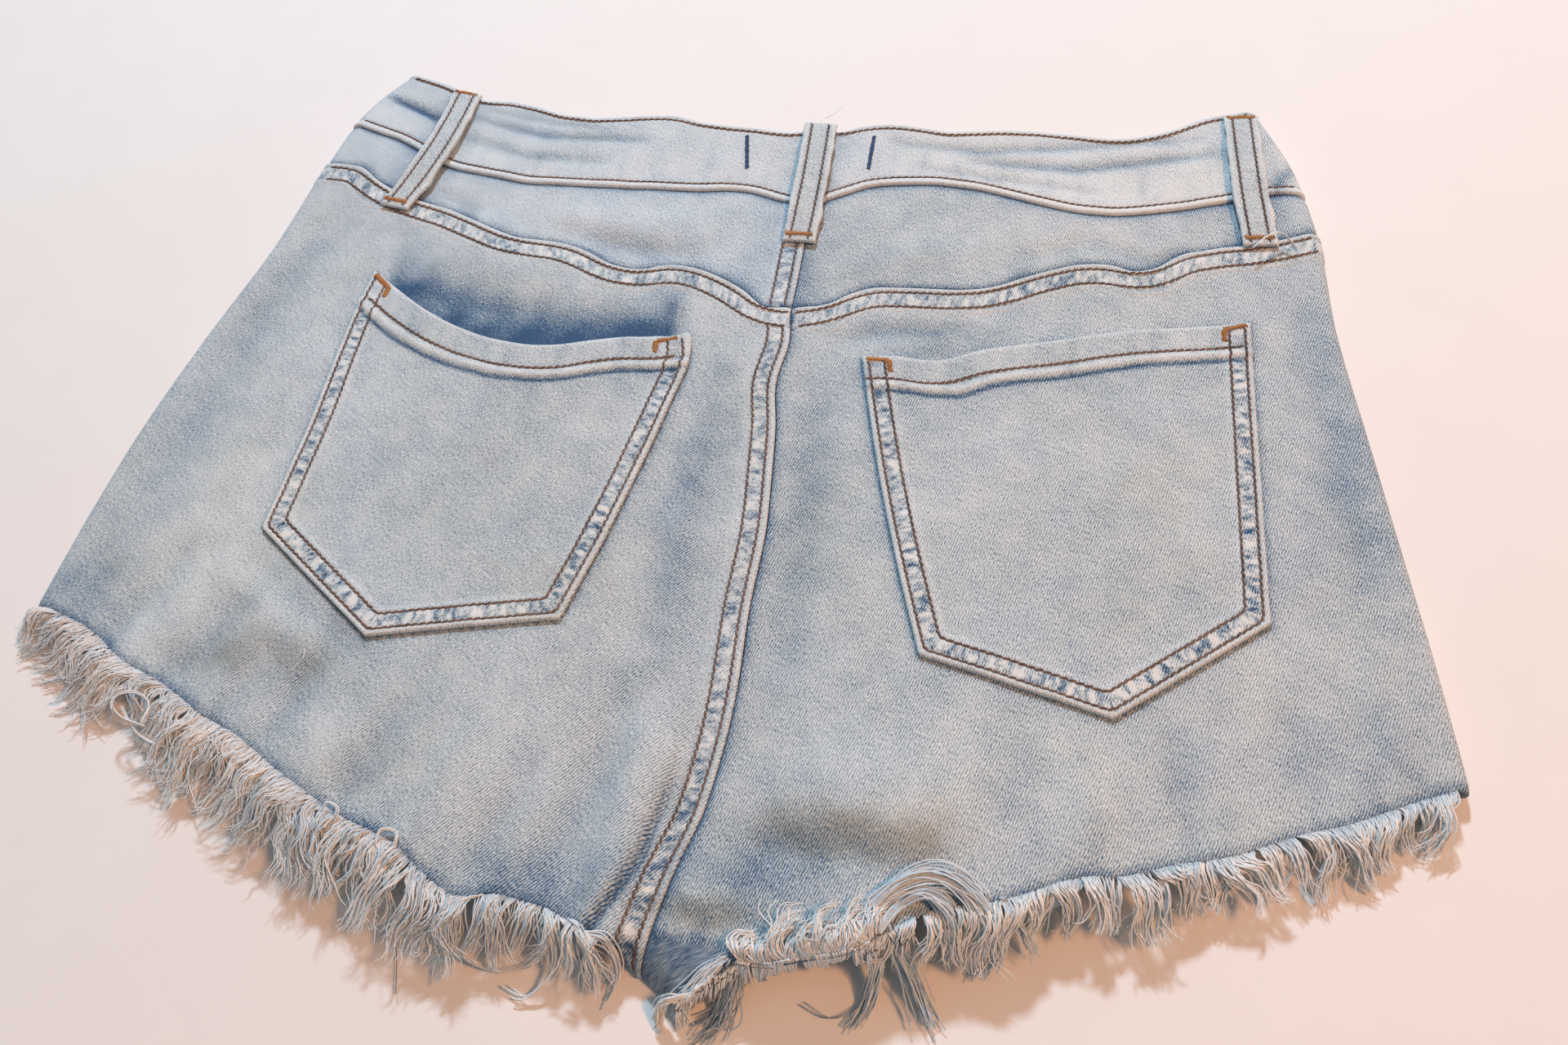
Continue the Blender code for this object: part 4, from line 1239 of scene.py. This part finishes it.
def front_pieces(side):
    """Front leg panel, half band and belt loop."""
    over = np.linspace(0, FORK_SHARE[side], FRONT_FORK_SHARES)
    shares = np.concatenate((over, np.linspace(FORK_SHARE[side], 1, 62)[1:]))
    points = front_grid(side, "band_seam", "hem", shares, np.linspace(0, 1, FRONT_DOWNS), WALL)
    rows, hem = list(points), points[-1][:FRONT_FORK_SHARES]
    seam_foot = seam_x(CROTCH_Y) + AWAY[side] * SEAM_GAP / 2
    foot_x = seam_foot + (FORK_FOOT_X[side] - seam_foot) * np.linspace(0, 1, FRONT_FORK_SHARES)
    foot_y = crotch_y(foot_x) + FORK_SET_BACK
    for step in (0.25, 0.5, 0.75, 1.0):
        x = hem[:, 0] + (foot_x - hem[:, 0]) * step
        y = hem[:, 1] + (foot_y - hem[:, 1]) * step
        rows.append(np.stack((x, y, hem[:, 2]), axis=1))
    flat = np.concatenate(rows)
    hem_y = np.interp(flat[:, 0] * AWAY[side], points[-1, :, 0] * AWAY[side], points[-1, :, 1])
    deep = 0.6 * bell(flat[:, 1], hem_y, 3.0)
    yield front_cloth("front_panel_" + side, rows, WALL - FRONT_LIFT, 60, WRONG, deep=deep)

    downs = np.linspace(0, 1, FRONT_BAND_DOWNS)
    points = front_grid(side, "waist", "band_seam", shares, downs, BAND_WALL)
    worn = np.repeat(0.5 * bell(downs, 1.0, 0.05), len(shares))
    yield front_cloth("waistband_front_" + side, points, BAND_WALL - FRONT_LIFT, 110, DENIM, worn=worn)

    y = float(front_line("waist", side, FRONT_LOOP_SHARE))
    x = float(plan(side, FRONT_LOOP_SHARE, y))
    px, py, _, offset = strip((x, y), (x, y - FRONT_LOOP_LENGTH), LOOP_WIDTH, 40, 12)
    points = np.stack((px, py, np.full(px.shape, LOOP_WALL / 2)), axis=-1)
    worn = 0.7 * bell(LOOP_WIDTH / 2 - np.abs(offset), 0.4, 1.0)
    yield front_cloth("belt_loop_front_" + side, points, LOOP_WALL, 50, DENIM, worn=worn)


# ---------------------------------------------------------------- threads


def tubes(paths, radii, sides):
    """Vertices and faces of tubes along many paths of as many points each."""
    count, steps, _ = paths.shape
    tangent = np.gradient(paths, axis=1)
    tangent = tangent / np.maximum(np.linalg.norm(tangent, axis=2), 1e-9)[..., None]
    up = np.zeros_like(tangent)
    up[..., 2] = 1.0
    steep = np.abs(tangent[..., 2]) > 0.9
    up[steep] = (0.6, 0.8, 0.0)
    side = np.cross(up, tangent)
    side = side / np.maximum(np.linalg.norm(side, axis=2), 1e-9)[..., None]
    over = np.cross(tangent, side)
    rings = []
    for k in range(sides):
        angle = 2 * math.pi * (k + 0.25) / sides
        rings.append(paths + radii[..., None] * (math.cos(angle) * side + math.sin(angle) * over))
    vertices = np.stack(rings, axis=2).reshape(-1, 3)
    base = (np.arange(count)[:, None, None] * steps + np.arange(steps - 1)[None, :, None]) * sides
    k = np.arange(sides)[None, None, :]
    after = (k + 1) % sides
    faces = np.stack((base + k, base + after, base + sides + after, base + sides + k), axis=-1)
    return vertices, faces.reshape(-1, 4)


def resample(path, step):
    """Points on a plan path, a whole number of steps apart."""
    path = np.asarray(path, dtype=float)
    runs = np.concatenate(([0], np.cumsum(np.linalg.norm(np.diff(path, axis=0), axis=1))))
    count = max(1, int(round(runs[-1] / step)))
    at = np.linspace(0, runs[-1], count + 1)
    return np.stack((np.interp(at, runs, path[:, 0]), np.interp(at, runs, path[:, 1])), axis=1)


def laid(spots, surfaces):
    """Points a lift above these surfaces, or none if one of them is off the cloth."""
    points = [(x, y, height_on(surfaces, x, y), lift) for x, y, lift in spots]
    if any(z is None for _, _, z, _ in points):
        return []
    return [[(x, y, z + lift) for x, y, z, lift in points]]


def row_paths(path, surfaces, seed):
    """One short path for each stitch of a row, on the surfaces below it."""
    places = resample(path, STITCH_PITCH)
    draw = np.random.default_rng(seed)
    found = []
    for start, end in zip(places[:-1], places[1:]):
        run = end - start
        normal = np.array((-run[1], run[0])) / max(math.hypot(*run), 1e-6)
        skew = STITCH_SKEW + draw.uniform(-0.1, 0.1)
        spots = [(*(start + run * t + normal * skew * (t - 0.5) * 2), lift) for t, lift in STITCH_ARCH]
        found += laid(spots, surfaces)
    return found


def stitches(name, rows, material, radius=STITCH_RADIUS):
    """Many stitches as one piece."""
    paths = np.array([stitch for row in rows for stitch in row])
    radii = np.tile(np.array((0.6, 0.95, 1.0, 0.95, 0.6)) * radius, (len(paths), 1))
    vertices, faces = tubes(paths, radii, 5)
    piece = new_mesh(name, vertices, faces, (material,))
    declare(piece, [])
    return piece


def tack_paths(start, end, width, surfaces, seed):
    """Zigzag bar of close stitches from start to end."""
    draw = np.random.default_rng(seed)
    start, end, along, across = line_ends(start, end)
    found = []
    for i in range(int(np.linalg.norm(end - start) / TACK_PITCH)):
        centre = start + along * (i + 0.5) * TACK_PITCH
        lean = along * (0.3 if i % 2 else -0.3)
        half = width / 2 * draw.uniform(0.7, 1.3)
        spots = [(*(centre + (across * half + lean) * t), lift) for t, lift in TACK_ARCH]
        found += laid(spots, surfaces)
    return found


def inset_chain(corners, inset):
    """A chain of straight edges moved inwards, to the left of its run."""
    points = np.array(corners, dtype=float)
    runs = np.diff(points, axis=0)
    runs = runs / np.linalg.norm(runs, axis=1)[:, None]
    normals = np.stack((-runs[:, 1], runs[:, 0]), axis=1)
    moved = [points[0] + normals[0] * inset]
    for i in range(1, len(points) - 1):
        both = normals[i - 1] + normals[i]
        both = both / (1 + normals[i - 1] @ normals[i])
        moved.append(points[i] + both * inset)
    moved.append(points[-1] + normals[-1] * inset)
    return moved


def line_path(name, side, offset, first, last, wall=WALL, count=160):
    """Plan path below a named line by an offset, between two shares."""
    shares = np.linspace(first, last, count)
    y = line_y(name, side, shares)
    points = np.stack((plan(side, shares, y, wall), y), axis=1)
    run = np.gradient(points, axis=0)
    run = run / np.linalg.norm(run, axis=1)[:, None]
    normal = np.stack((-run[:, 1], run[:, 0]), axis=1) * (1 if side == "left" else -1)
    points = points + normal * offset
    for _ in range(24):
        points[1:-1] = (points[:-2] + 2 * points[1:-1] + points[2:]) / 4
    return points


def seam_path(offset, top, foot, count=120):
    """Plan path beside the centre back seam."""
    y = np.linspace(top, foot, count)
    return np.stack((seam_x(y) - offset, y), axis=1)


THREAD_STEPS = 14


def fringe(
    name, node, roots, turns, lengths, rests, seed, spacing, size, tone_shift=0.0, wide=(3.5, 8.0),
    gather=(0.3, 0.9), stray_turn=(14, 40), curl=0, sides=3,
):
    """Loose threads of a raw hem in overlapping locks, each drawn together towards its tip.

    roots is a path of points along the hem; turns, lengths and rests are the direction in
    degrees, the length and the share of its height that a tip keeps, evenly along that path.
    """
    draw = np.random.default_rng(seed)
    runs = np.concatenate(([0], np.cumsum(np.linalg.norm(np.diff(roots, axis=0), axis=1))))
    total = runs[-1]

    def lookup(table, where):
        return np.interp(where / total, np.linspace(0, 1, len(table)), table)

    at = []
    place = draw.uniform(0, spacing)
    while place < total:
        at.append(place)
        place += spacing * draw.uniform(0.5, 1.5)
    at = np.array(at)
    locks = len(at)
    counts = draw.integers(*size, locks)
    own = np.repeat(np.arange(locks), counts)
    number = len(own)
    t = np.linspace(0, 1, THREAD_STEPS)

    def each(low, high):
        return draw.uniform(low, high, locks)[own][:, None]

    turn = np.radians(lookup(turns, at) + draw.normal(0, stray_turn[0], locks))[own][:, None]
    bend = np.radians(curl + draw.normal(0, stray_turn[1], locks))[own][:, None]
    length = (lookup(lengths, at) * draw.uniform(0.62, 1.15, locks))[own] * draw.uniform(0.72, 1.04, number)
    length = length[:, None]
    swing, phase, rate = each(0.1, 0.65), each(0, 2 * math.pi), length / each(11, 22)
    stray = np.where(draw.random(number) < 0.18, draw.normal(0, 0.6, number), draw.normal(0, 0.09, number))
    crimp, crimp_phase = draw.uniform(0.05, 0.4, number), draw.uniform(0, 2 * math.pi, number)
    crimp_rate = length / draw.uniform(4.5, 8.0, number)[:, None]
    angle = turn + bend * (t - 0.15) + swing * np.sin(2 * math.pi * rate * t + phase) + stray[:, None] * t
    angle = angle + crimp[:, None] * np.sin(2 * math.pi * crimp_rate * t + crimp_phase[:, None])
    step = length / (THREAD_STEPS - 1)
    run_x = np.cumsum(np.cos(angle), axis=1) * step
    run_y = np.cumsum(np.sin(angle), axis=1) * step
    across = draw.uniform(-0.5, 0.5, number)
    width = each(*wide)
    where = np.clip(at[own] + across * width[:, 0], 0, total)
    base = np.stack([np.interp(where, runs, roots[:, k]) for k in range(3)], axis=1)
    centre = np.stack([np.interp(at[own], runs, roots[:, k]) for k in range(3)], axis=1)
    draw_in = each(*gather) * t**1.3
    x = base[:, :1] + (centre - base)[:, :1] * draw_in + run_x - run_x[:, :1]
    y = base[:, 1:2] + (centre - base)[:, 1:2] * draw_in + run_y - run_y[:, :1]
    keep = lookup(rests, where)[:, None] * each(0.6, 1.25)
    hump = each(0.3, 3.0) * np.sin(math.pi * np.minimum(1, t * 1.5)) + each(0, 2.2) * np.sin(math.pi * t)
    loose = draw.uniform(0, 1, number)[:, None] * (0.25 + 1.3 * np.sin(math.pi * np.minimum(t, 0.8)))
    z = base[:, 2:] * (1 - (1 - keep) * smoothstep(t)) + hump + loose
    z = np.maximum(z, 0.35 + 0.5 * draw.random(number)[:, None])
    paths = np.stack((x, y, z), axis=2)
    radii = draw.uniform(0.19, 0.31, number)[:, None] * (1 - 0.6 * t**4) * (0.75 + 0.25 * np.minimum(1, t * 6))
    vertices, faces = tubes(paths, radii, sides)
    piece = new_mesh(name, vertices, faces, (FRAY,))
    tone = 0.6 + tone_shift + 0.09 * draw.normal(0, 1, locks)[own] + 0.14 * draw.normal(0, 1, number)
    tone = tone[:, None] - 0.3 * np.exp(-t / 0.04) + 0.08 * t
    set_attribute(piece, "tone", np.repeat(tone.reshape(-1), sides))
    declare(piece, node)
    return piece


def strands(name, bundles, seed):
    """Bundles of threads along guides: plan points with heights, count, spread, radius and tone."""
    draw = np.random.default_rng(seed)
    paths, radii, tones = [], [], []
    for guide, count, spread, radius, tone in bundles:
        guide = np.array(guide, dtype=float)
        knots = np.linspace(0, 1, len(guide))
        for _ in range(count):
            reach = draw.uniform(0.7, 1.0) if count > 4 else 1.0
            t = np.linspace(0, reach, 16)
            fine = np.stack([through(t, knots, guide[:, k]) for k in range(3)], axis=1)
            off = draw.normal(0, spread, 3) * (0.55, 0.55, 0.3)
            swing = np.sin(2 * math.pi * (t[:, None] * draw.uniform(0.4, 1.4) + draw.random(3))) * spread * 0.3
            fine = fine + off * (0.55 + 0.9 * t[:, None]) + swing * (1, 1, 0.4)
            cloth = [height_on(BACK[:2], x, y) or 0 for x, y, _ in fine]
            fine[:, 2] = np.maximum(fine[:, 2], np.array(cloth) + 0.3 + 1.6 * draw.random())
            paths.append(fine)
            radii.append(np.full(16, radius * draw.uniform(0.8, 1.15)))
            tones.append(tone + 0.1 * draw.normal())
    vertices, faces = tubes(np.array(paths), np.array(radii), 3)
    piece = new_mesh(name, vertices, faces, (FRAY,))
    set_attribute(piece, "tone", np.repeat(tones, 16 * 3))
    declare(piece, [])
    return piece


# ---------------------------------------------------------------- building

pieces = {}

for side in AWAY:
    pieces["back_panel_" + side] = back_piece(
        "back_panel_", side, "yoke_seam", "hem", PANEL_DOWNS, panel_dress, fork=True
    )
    pieces["back_yoke_" + side] = back_piece(
        "back_yoke_", side, "band_seam", "yoke_seam", YOKE_DOWNS, yoke_dress
    )
    pieces["back_pocket_" + side] = pocket_piece(side)
    for kind, piece in zip(("front_panel_", "waistband_front_", "belt_loop_front_"), front_pieces(side)):
        pieces[kind + side] = piece
pieces["waistband_back"] = band_piece()
for name, (top, foot) in BACK_LOOPS.items():
    pieces[name] = loop_piece(name, top, foot)

# Topstitching.
BACK = ["back_panel_left", "back_panel_right", "back_yoke_left", "back_yoke_right", "waistband_back"]
rows = {"band": [], "yoke": [], "seam": [], "pockets": [], "loops": []}
for number, side in enumerate(AWAY):
    for line, offset, seed in (("waist", WAIST_ROW, 100), ("band_seam", -SINGLE_ROW, 110)):
        rows["band"].append(row_paths(line_path(line, side, offset, 0.0, 1.0, BAND_WALL), BACK, seed + number))
    for offset, seed in ((ROW_NEAR, 120), (ROW_FAR, 130)):
        rows["yoke"].append(row_paths(line_path("yoke_seam", side, offset, 0.004, 1.0), BACK, seed + number))
    pocket = ["back_pocket_" + side]
    for inset, seed in ((POCKET_ROW_NEAR, 140), (POCKET_ROW_FAR, 150)):
        path = inset_chain(pocket_chain(side), inset * AWAY[side])
        rows["pockets"].append(row_paths(path, pocket, seed + number))
    across = np.linspace(0.02, 0.98, 80)
    mouth = pocket_plan(side, across, np.zeros_like(across))
    mouth[:, 1] = mouth[:, 1] - MOUTH_ROW / line_slope(mouth)
    rows["pockets"].append(row_paths(mouth, pocket, 160 + number))
for number, offset in enumerate((SEAM_NEAR, SEAM_FAR)):
    for top, foot, seed in ((-50, -90, 170), (-100, -334, 180)):
        rows["seam"].append(row_paths(seam_path(offset, top, foot), BACK, seed + number))
part = np.linspace(0.012, 0.982, 30)[:, None]
for number, (name, ends) in enumerate(BACK_LOOPS.items()):
    top, foot, _, across = line_ends(*ends)
    for sign in (-1, 1):
        path = top + (foot - top) * part + across * LOOP_ROW * sign
        path[:, 0] += LOOP_CURVE[name] * np.sin(math.pi * part[:, 0])
        rows["loops"].append(row_paths(path, [name], 190 + number * 2 + sign))
for part, paths in rows.items():
    pieces["stitching_" + part] = stitches("stitching_" + part, paths, ROW_THREAD)

# Bartacks: across the ends of the loops, and at the corners of the pocket mouths.
tacks = []
for number, (name, ends) in enumerate(BACK_LOOPS.items()):
    top, foot, along, across = line_ends(*ends)
    spots = [foot - along * 3.0]
    if name != "belt_loop_back_centre":
        spots.append(top + along * 1.0)
    for spot in spots:
        start, end = spot - across * 5.4, spot + across * 5.4
        tacks.append(tack_paths(start, end, BARTACK_WIDTH, [name, *BACK], seed=200 + number))
for number, side in enumerate(("left", "right")):
    surface = ["back_pocket_" + side]
    for at, inward in ((0.036 if side == "left" else 0.012, 1), (0.988, -1)):
        reach = at + inward * 0.058
        spots = np.array((at, reach, reach)), np.array((0.012, 0.02, 0.062))
        a, b, c = pocket_plan(side, *spots)
        tacks.append(tack_paths(a, b, BARTACK_WIDTH, surface, seed=210 + number))
        tacks.append(tack_paths(b, c, 1.9, surface, seed=220 + number))
pieces["bartacks"] = stitches("bartacks", tacks, TACK_THREAD, 0.26)
bars = [
    tack_paths((-28, -8), (-25, -25), 1.5, BACK, seed=231),
    tack_paths((23, -4), (23, -22), 1.5, BACK, seed=232),
]
pieces["blue_bars"] = stitches("blue_bars", bars, BLUE_THREAD, 0.26)

# Fringes: turn, length and rest of the tips, evenly along each hem from the crotch outwards.
FRINGES = {
    "left": (
        (292, 262, 250, 246, 243, 241, 238, 231),
        (20, 24, 27, 30, 30, 30, 28, 22),
        (0.3, 0.5, 0.6, 0.6, 0.55, 0.5, 0.4, 0.3),
    ),
    "right": (
        (218, 240, 262, 262, 270, 262, 275, 285, 290, 292, 294, 296, 292, 286, 280),
        (19, 8, 1.2, 1.2, 12, 19, 20, 21, 20, 21, 21, 20, 20, 19, 18),
        (0.15, 0.25, 0.5, 0.6, 0.5, 0.5, 0.55, 0.6, 0.6, 0.6, 0.55, 0.5, 0.45, 0.4, 0.35),
    ),
}
STYLES = {
    "left": dict(spacing=2.0, size=(10, 19), tone_shift=0.1, wide=(3.5, 8.0), gather=(0.3, 0.9)),
    "right": dict(spacing=4.7, size=(26, 46), tone_shift=0.2, wide=(4, 11), gather=(0.3, 0.85), stray_turn=(15, 32)),
}
for number, side in enumerate(("left", "right")):
    turns, lengths, rests = FRINGES[side]
    start = 0.055 if side == "left" else 0.118
    shares = np.linspace(start, 0.995, 80)
    y = line_y("hem", side, shares) + 0.8
    x = plan(side, shares, y)
    if side == "right":
        x = np.concatenate((np.linspace(14, x[0] - 2, 12), x))
        y = np.concatenate((np.linspace(-338, y[0] - 2, 12), y))
    roots = np.stack((x, y, back_height(x, y) - 0.2), axis=1)
    name = "fringe_back_" + side
    pieces[name] = fringe(name + "_threads", [name], roots, turns, lengths, rests, 300 + number, **STYLES[side])
    shares = np.linspace(start + 0.05, 0.95, 60)
    y = front_line("hem", side, shares) + 0.6
    roots = np.stack((plan(side, shares, y), y, np.full(len(y), WALL * 0.7)), axis=1)
    name = "fringe_front_" + side
    pieces[name] = fringe(
        name + "_threads", [name], roots, turns, [v * 0.8 for v in lengths], (1, 1), 310 + number, 3.6, (6, 11), -0.05
    )

# The right hem is turned up next to the crotch, and its threads lie back over the cloth.
shares = np.linspace(0.115, 0.275, 40)
y = line_y("hem", "right", shares) + 0.7
x = plan("right", shares, y)
roots = np.stack((x, y, back_height(x, y) + 1.1), axis=1)
pieces["fringe_turned"] = fringe(
    "fringe_turned", [], roots, (128, 122, 116, 112, 116, 104), (14, 17, 18, 18, 15), (1.0, 1.0, 0.95), 320, 1.1,
    (12, 18), 0.26, wide=(2.5, 5.0), gather=(0.0, 0.4), stray_turn=(6, 20), curl=-95,
)

# Locks and single threads that stand out: guide, count, spread, radius, tone.
pieces["fringe_locks"] = strands(
    "fringe_locks",
    (
        (
            ((60, -317, 19), (63, -309, 22), (70, -301, 24), (79, -297, 25),
             (88, -299, 24), (95, -305, 20), (97, -313, 10)),
            84, 2.1, 0.27, 0.62,
        ),
        (((66, -314, 19), (71, -306, 22), (78, -302, 24), (85, -306, 21), (85, -314, 12)), 46, 1.6, 0.27, 0.52),
        (
            ((57, -309, 20), (64, -309, 22), (70, -314, 19), (68, -320, 15),
             (62, -320, 15), (60, -315, 18), (65, -312, 20)),
            16, 0.8, 0.26, 0.62,
        ),
        (((66, -314, 18), (67, -321, 11), (65, -329, 3), (61, -337, 1)), 60, 1.9, 0.22, 0.55),
        (((69, -313, 18), (75, -320, 10), (79, -327, 4), (83, -334, 1)), 60, 2.1, 0.22, 0.48),
        (((92, -302, 19), (97, -306, 17), (99, -312, 9), (94, -319, 3)), 44, 1.9, 0.25, 0.62),
        (((99, -300, 18), (105, -304, 14), (110, -311, 5)), 30, 1.8, 0.24, 0.6),
        (((64, -330, 3), (55, -335, 1), (46, -332, 0.6)), 2, 0.8, 0.16, 0.1),
        # A dark tuft under the turned hem: its low tone is painted shade.
        (((27, -329, 9), (26, -335, 6), (24, -341, 2), (19, -346, 1)), 46, 3.0, 0.24, 0.3),
        (((24, -327, 14), (20, -331, 11), (16, -336, 6), (11, -341, 2)), 40, 2.0, 0.26, 0.62),
        (
            ((-178, -281, 12), (-177, -275, 13), (-183, -272, 14), (-189, -274, 14),
             (-189, -278, 13), (-184, -281, 13), (-177, -282, 11)),
            3, 0.5, 0.3, 0.95,
        ),
        (((-186, -277, 13), (-179, -284, 11), (-168, -287, 9), (-158, -284, 8)), 4, 0.6, 0.24, 0.9),
        (
            ((-79, -314, 16), (-84, -311, 19), (-84, -306, 20), (-79, -306, 20),
             (-79, -311, 18), (-82, -314, 16)),
            6, 0.4, 0.26, 0.85,
        ),
        (((-105, -305, 16), (-104, -300, 19), (-100, -301, 19), (-101, -305, 17)), 5, 0.4, 0.26, 0.85),
        (((-60, -326, 15), (-55, -334, 7), (-46, -337, 3), (-36, -335, 2), (-28, -329, 5)), 6, 0.8, 0.26, 0.8),
        (((-28, -324, 18), (-26, -334, 8), (-33, -343, 2), (-42, -341, 1)), 6, 0.9, 0.26, 0.85),
        (((-18, -326, 17), (-10, -327, 14), (-7, -333, 6), (-10, -342, 1)), 16, 1.4, 0.25, 0.75),
        (((-78, -330, 7), (-75, -338, 1), (-72, -348, 0.6)), 1, 0.3, 0.2, 0.0),
    ),
    331,
)
pieces["loose_threads"] = strands(
    "loose_threads",
    (
        (((168, -50, 15), (173, -45, 16), (178, -42, 15), (184, -46, 12)), 3, 0.5, 0.22, 1.0),
        (((3, 1, 17), (6, 5, 16), (8, 11, 14)), 2, 0.5, 0.14, 0.8),
        (((-133, -258, 15), (-130, -254, 16), (-131, -250, 15)), 1, 0.2, 0.15, 0.9),
    ),
    332,
)

# The waist button, hidden below: a turned cap with a raised rim, and its shank.
BUTTON_PROFILE = (
    (0.0, 0.35),
    (BUTTON_RADIUS - 3.4, 0.35),
    (BUTTON_RADIUS - 2.7, 0.1),
    (BUTTON_RADIUS - 1.6, 0.0),
    (BUTTON_RADIUS - 0.5, 0.3),
    (BUTTON_RADIUS, 0.9),
    (BUTTON_RADIUS - 0.1, BUTTON_CAP - 0.5),
    (BUTTON_RADIUS - 0.8, BUTTON_CAP),
    (BUTTON_SHANK_RADIUS, BUTTON_CAP),
    (BUTTON_SHANK_RADIUS, BUTTON_RISE - BUTTON_CLEARANCE),
    (0.0, BUTTON_RISE - BUTTON_CLEARANCE),
)
turns_round = 48
angles = np.arange(turns_round) * 2 * math.pi / turns_round
ring = []
for radius, z in BUTTON_PROFILE:
    radius = max(radius, 0.02)
    ring.append(np.stack((np.cos(angles) * radius, np.sin(angles) * radius, np.full(turns_round, z)), axis=1))
vertices = np.concatenate(ring) + np.array((*button_place(), 0.0))
faces = []
for i in range(len(BUTTON_PROFILE) - 1):
    for k in range(turns_round):
        after = (k + 1) % turns_round
        a, b = i * turns_round, (i + 1) * turns_round
        faces.append((a + k, b + k, b + after, a + after))
button = new_mesh("waist_button_turned", vertices, faces, (brass(),))
declare(button, ["waist_button"])

# ---------------------------------------------------------------- sheets

# The cut of what shows of each piece: width, length and area, in metres.
SHEETS = {
    "back_panel_left": (0.265, 0.305, 0.0571),
    "back_panel_right": (0.250, 0.305, 0.0505),
    "back_yoke_left": (0.215, 0.080, 0.0069),
    "back_yoke_right": (0.200, 0.075, 0.0070),
    "waistband_back": (0.415, 0.068, 0.0158),
    "waistband_front_left": (0.200, 0.075, 0.0075),
    "waistband_front_right": (0.185, 0.075, 0.0068),
    "front_panel_left": (0.243, 0.316, 0.0522),
    "front_panel_right": (0.225, 0.318, 0.0469),
    "back_pocket_left": (0.135, 0.155, 0.0155),
    "back_pocket_right": (0.142, 0.159, 0.0166),
    "belt_loop_back_left": (0.0145, 0.069, 0.00097),
    "belt_loop_back_centre": (0.0145, 0.064, 0.00090),
    "belt_loop_back_right": (0.0145, 0.068, 0.00096),
    "belt_loop_front_left": (0.0145, 0.056, 0.00079),
    "belt_loop_front_right": (0.0145, 0.056, 0.00079),
}
WITH = {
    "back_panel_left": ["fringe_back_left", "stitching_seam"],
    "back_panel_right": ["fringe_back_right", "fringe_turned", "fringe_locks"],
    "front_panel_left": ["fringe_front_left"],
    "front_panel_right": ["fringe_front_right"],
    "waistband_back": ["stitching_band", "blue_bars"],
    "back_yoke_left": ["stitching_yoke"],
    "back_pocket_left": ["stitching_pockets", "bartacks"],
    "belt_loop_back_centre": ["stitching_loops", "loose_threads"],
}
RESTS = {
    "back_panel_left": ["front_panel_left"],
    "back_panel_right": ["front_panel_right"],
    "back_yoke_left": ["front_panel_left"],
    "back_yoke_right": ["front_panel_right"],
    "waistband_back": ["waistband_front_left", "waistband_front_right"],
    "back_pocket_left": ["back_panel_left"],
    "back_pocket_right": ["back_panel_right"],
    "belt_loop_back_left": ["waistband_back"],
    "belt_loop_back_centre": ["waistband_back"],
    "belt_loop_back_right": ["waistband_back"],
    "waistband_front_left": ["belt_loop_front_left"],
    "waistband_front_right": ["belt_loop_front_right"],
}
for name, (width, length, area) in SHEETS.items():
    rests = [pieces[other].name for other in RESTS.get(name, [])]
    extra = [pieces[other] for other in WITH.get(name, [])]
    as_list(rests or ["pale_floor"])

# ---------------------------------------------------------------- floor, light, camera

floor_mesh = bpy.data.meshes.new("pale_floor")
floor_mesh.from_pydata([(-4, -4, 0), (4, -4, 0), (4, 4, 0), (-4, 4, 0)], [], [(0, 1, 2, 3)])
floor_mesh.materials.append(paper())
floor = bpy.data.objects.new("pale_floor", floor_mesh)
floor.location = (0, 0, -0.0004)
bpy.context.scene.collection.objects.link(floor)


def area_light(name, place, target, size, power, colour):
    """A square soft light."""
    data = bpy.data.lights.new(name, "AREA")
    data.shape = "SQUARE"
    data.size = size
    data.energy = power
    data.color = colour
    lamp = bpy.data.objects.new(name, data)
    lamp.location = place
    lamp.rotation_euler = (Vector(target) - Vector(place)).to_track_quat("-Z", "Y").to_euler()
    bpy.context.scene.collection.objects.link(lamp)
    return lamp


area_light("cool_key", (-0.22, 1.2, 1.35), (0, 0, 0), 0.16, 23.0, (0.71, 0.87, 1.0))
area_light("warm_key", (1.2, -0.3, 1.8), (0, 0, 0), 0.3, 25.4, (1.0, 0.46, 0.2))

world = bpy.data.worlds.new("soft_room")
world.use_nodes = True
background = world.node_tree.nodes["Background"]
background.inputs["Color"].default_value = (0.78, 0.93, 1.0, 1.0)
background.inputs["Strength"].default_value = 0.215
bpy.context.scene.world = world
bpy.context.scene.view_settings.view_transform = "Standard"

# Camera: its place in millimetres on the plan, its angles in degrees and its lens.
CAMERA_PLACE = (87.146, -401.600, 401.050)
CAMERA_PITCH = 59.411
CAMERA_ROLL = -9.554
CAMERA_HEADING = 17.869
SENSOR = 36.0
LENS = 1650.0 / 1920.0 * SENSOR

cp, sp = math.cos(math.radians(CAMERA_PITCH)), math.sin(math.radians(CAMERA_PITCH))
cr, sr = math.cos(math.radians(CAMERA_ROLL)), math.sin(math.radians(CAMERA_ROLL))
axes = Matrix(((cr, -sr, 0), (sr * sp, cr * sp, -cp), (sr * cp, cr * cp, sp)))
turn = Matrix.Rotation(math.radians(CAMERA_HEADING), 3, "Z")
camera_data = bpy.data.cameras.new("camera")
camera_data.lens = LENS
camera_data.sensor_width = SENSOR
camera_data.clip_start = 0.01
camera_data.clip_end = 20
camera = bpy.data.objects.new("camera", camera_data)
camera.matrix_world = Matrix.Translation(Vector(to_row(CAMERA_PLACE))) @ (turn @ axes).to_4x4()
bpy.context.scene.collection.objects.link(camera)
bpy.context.scene.camera = camera
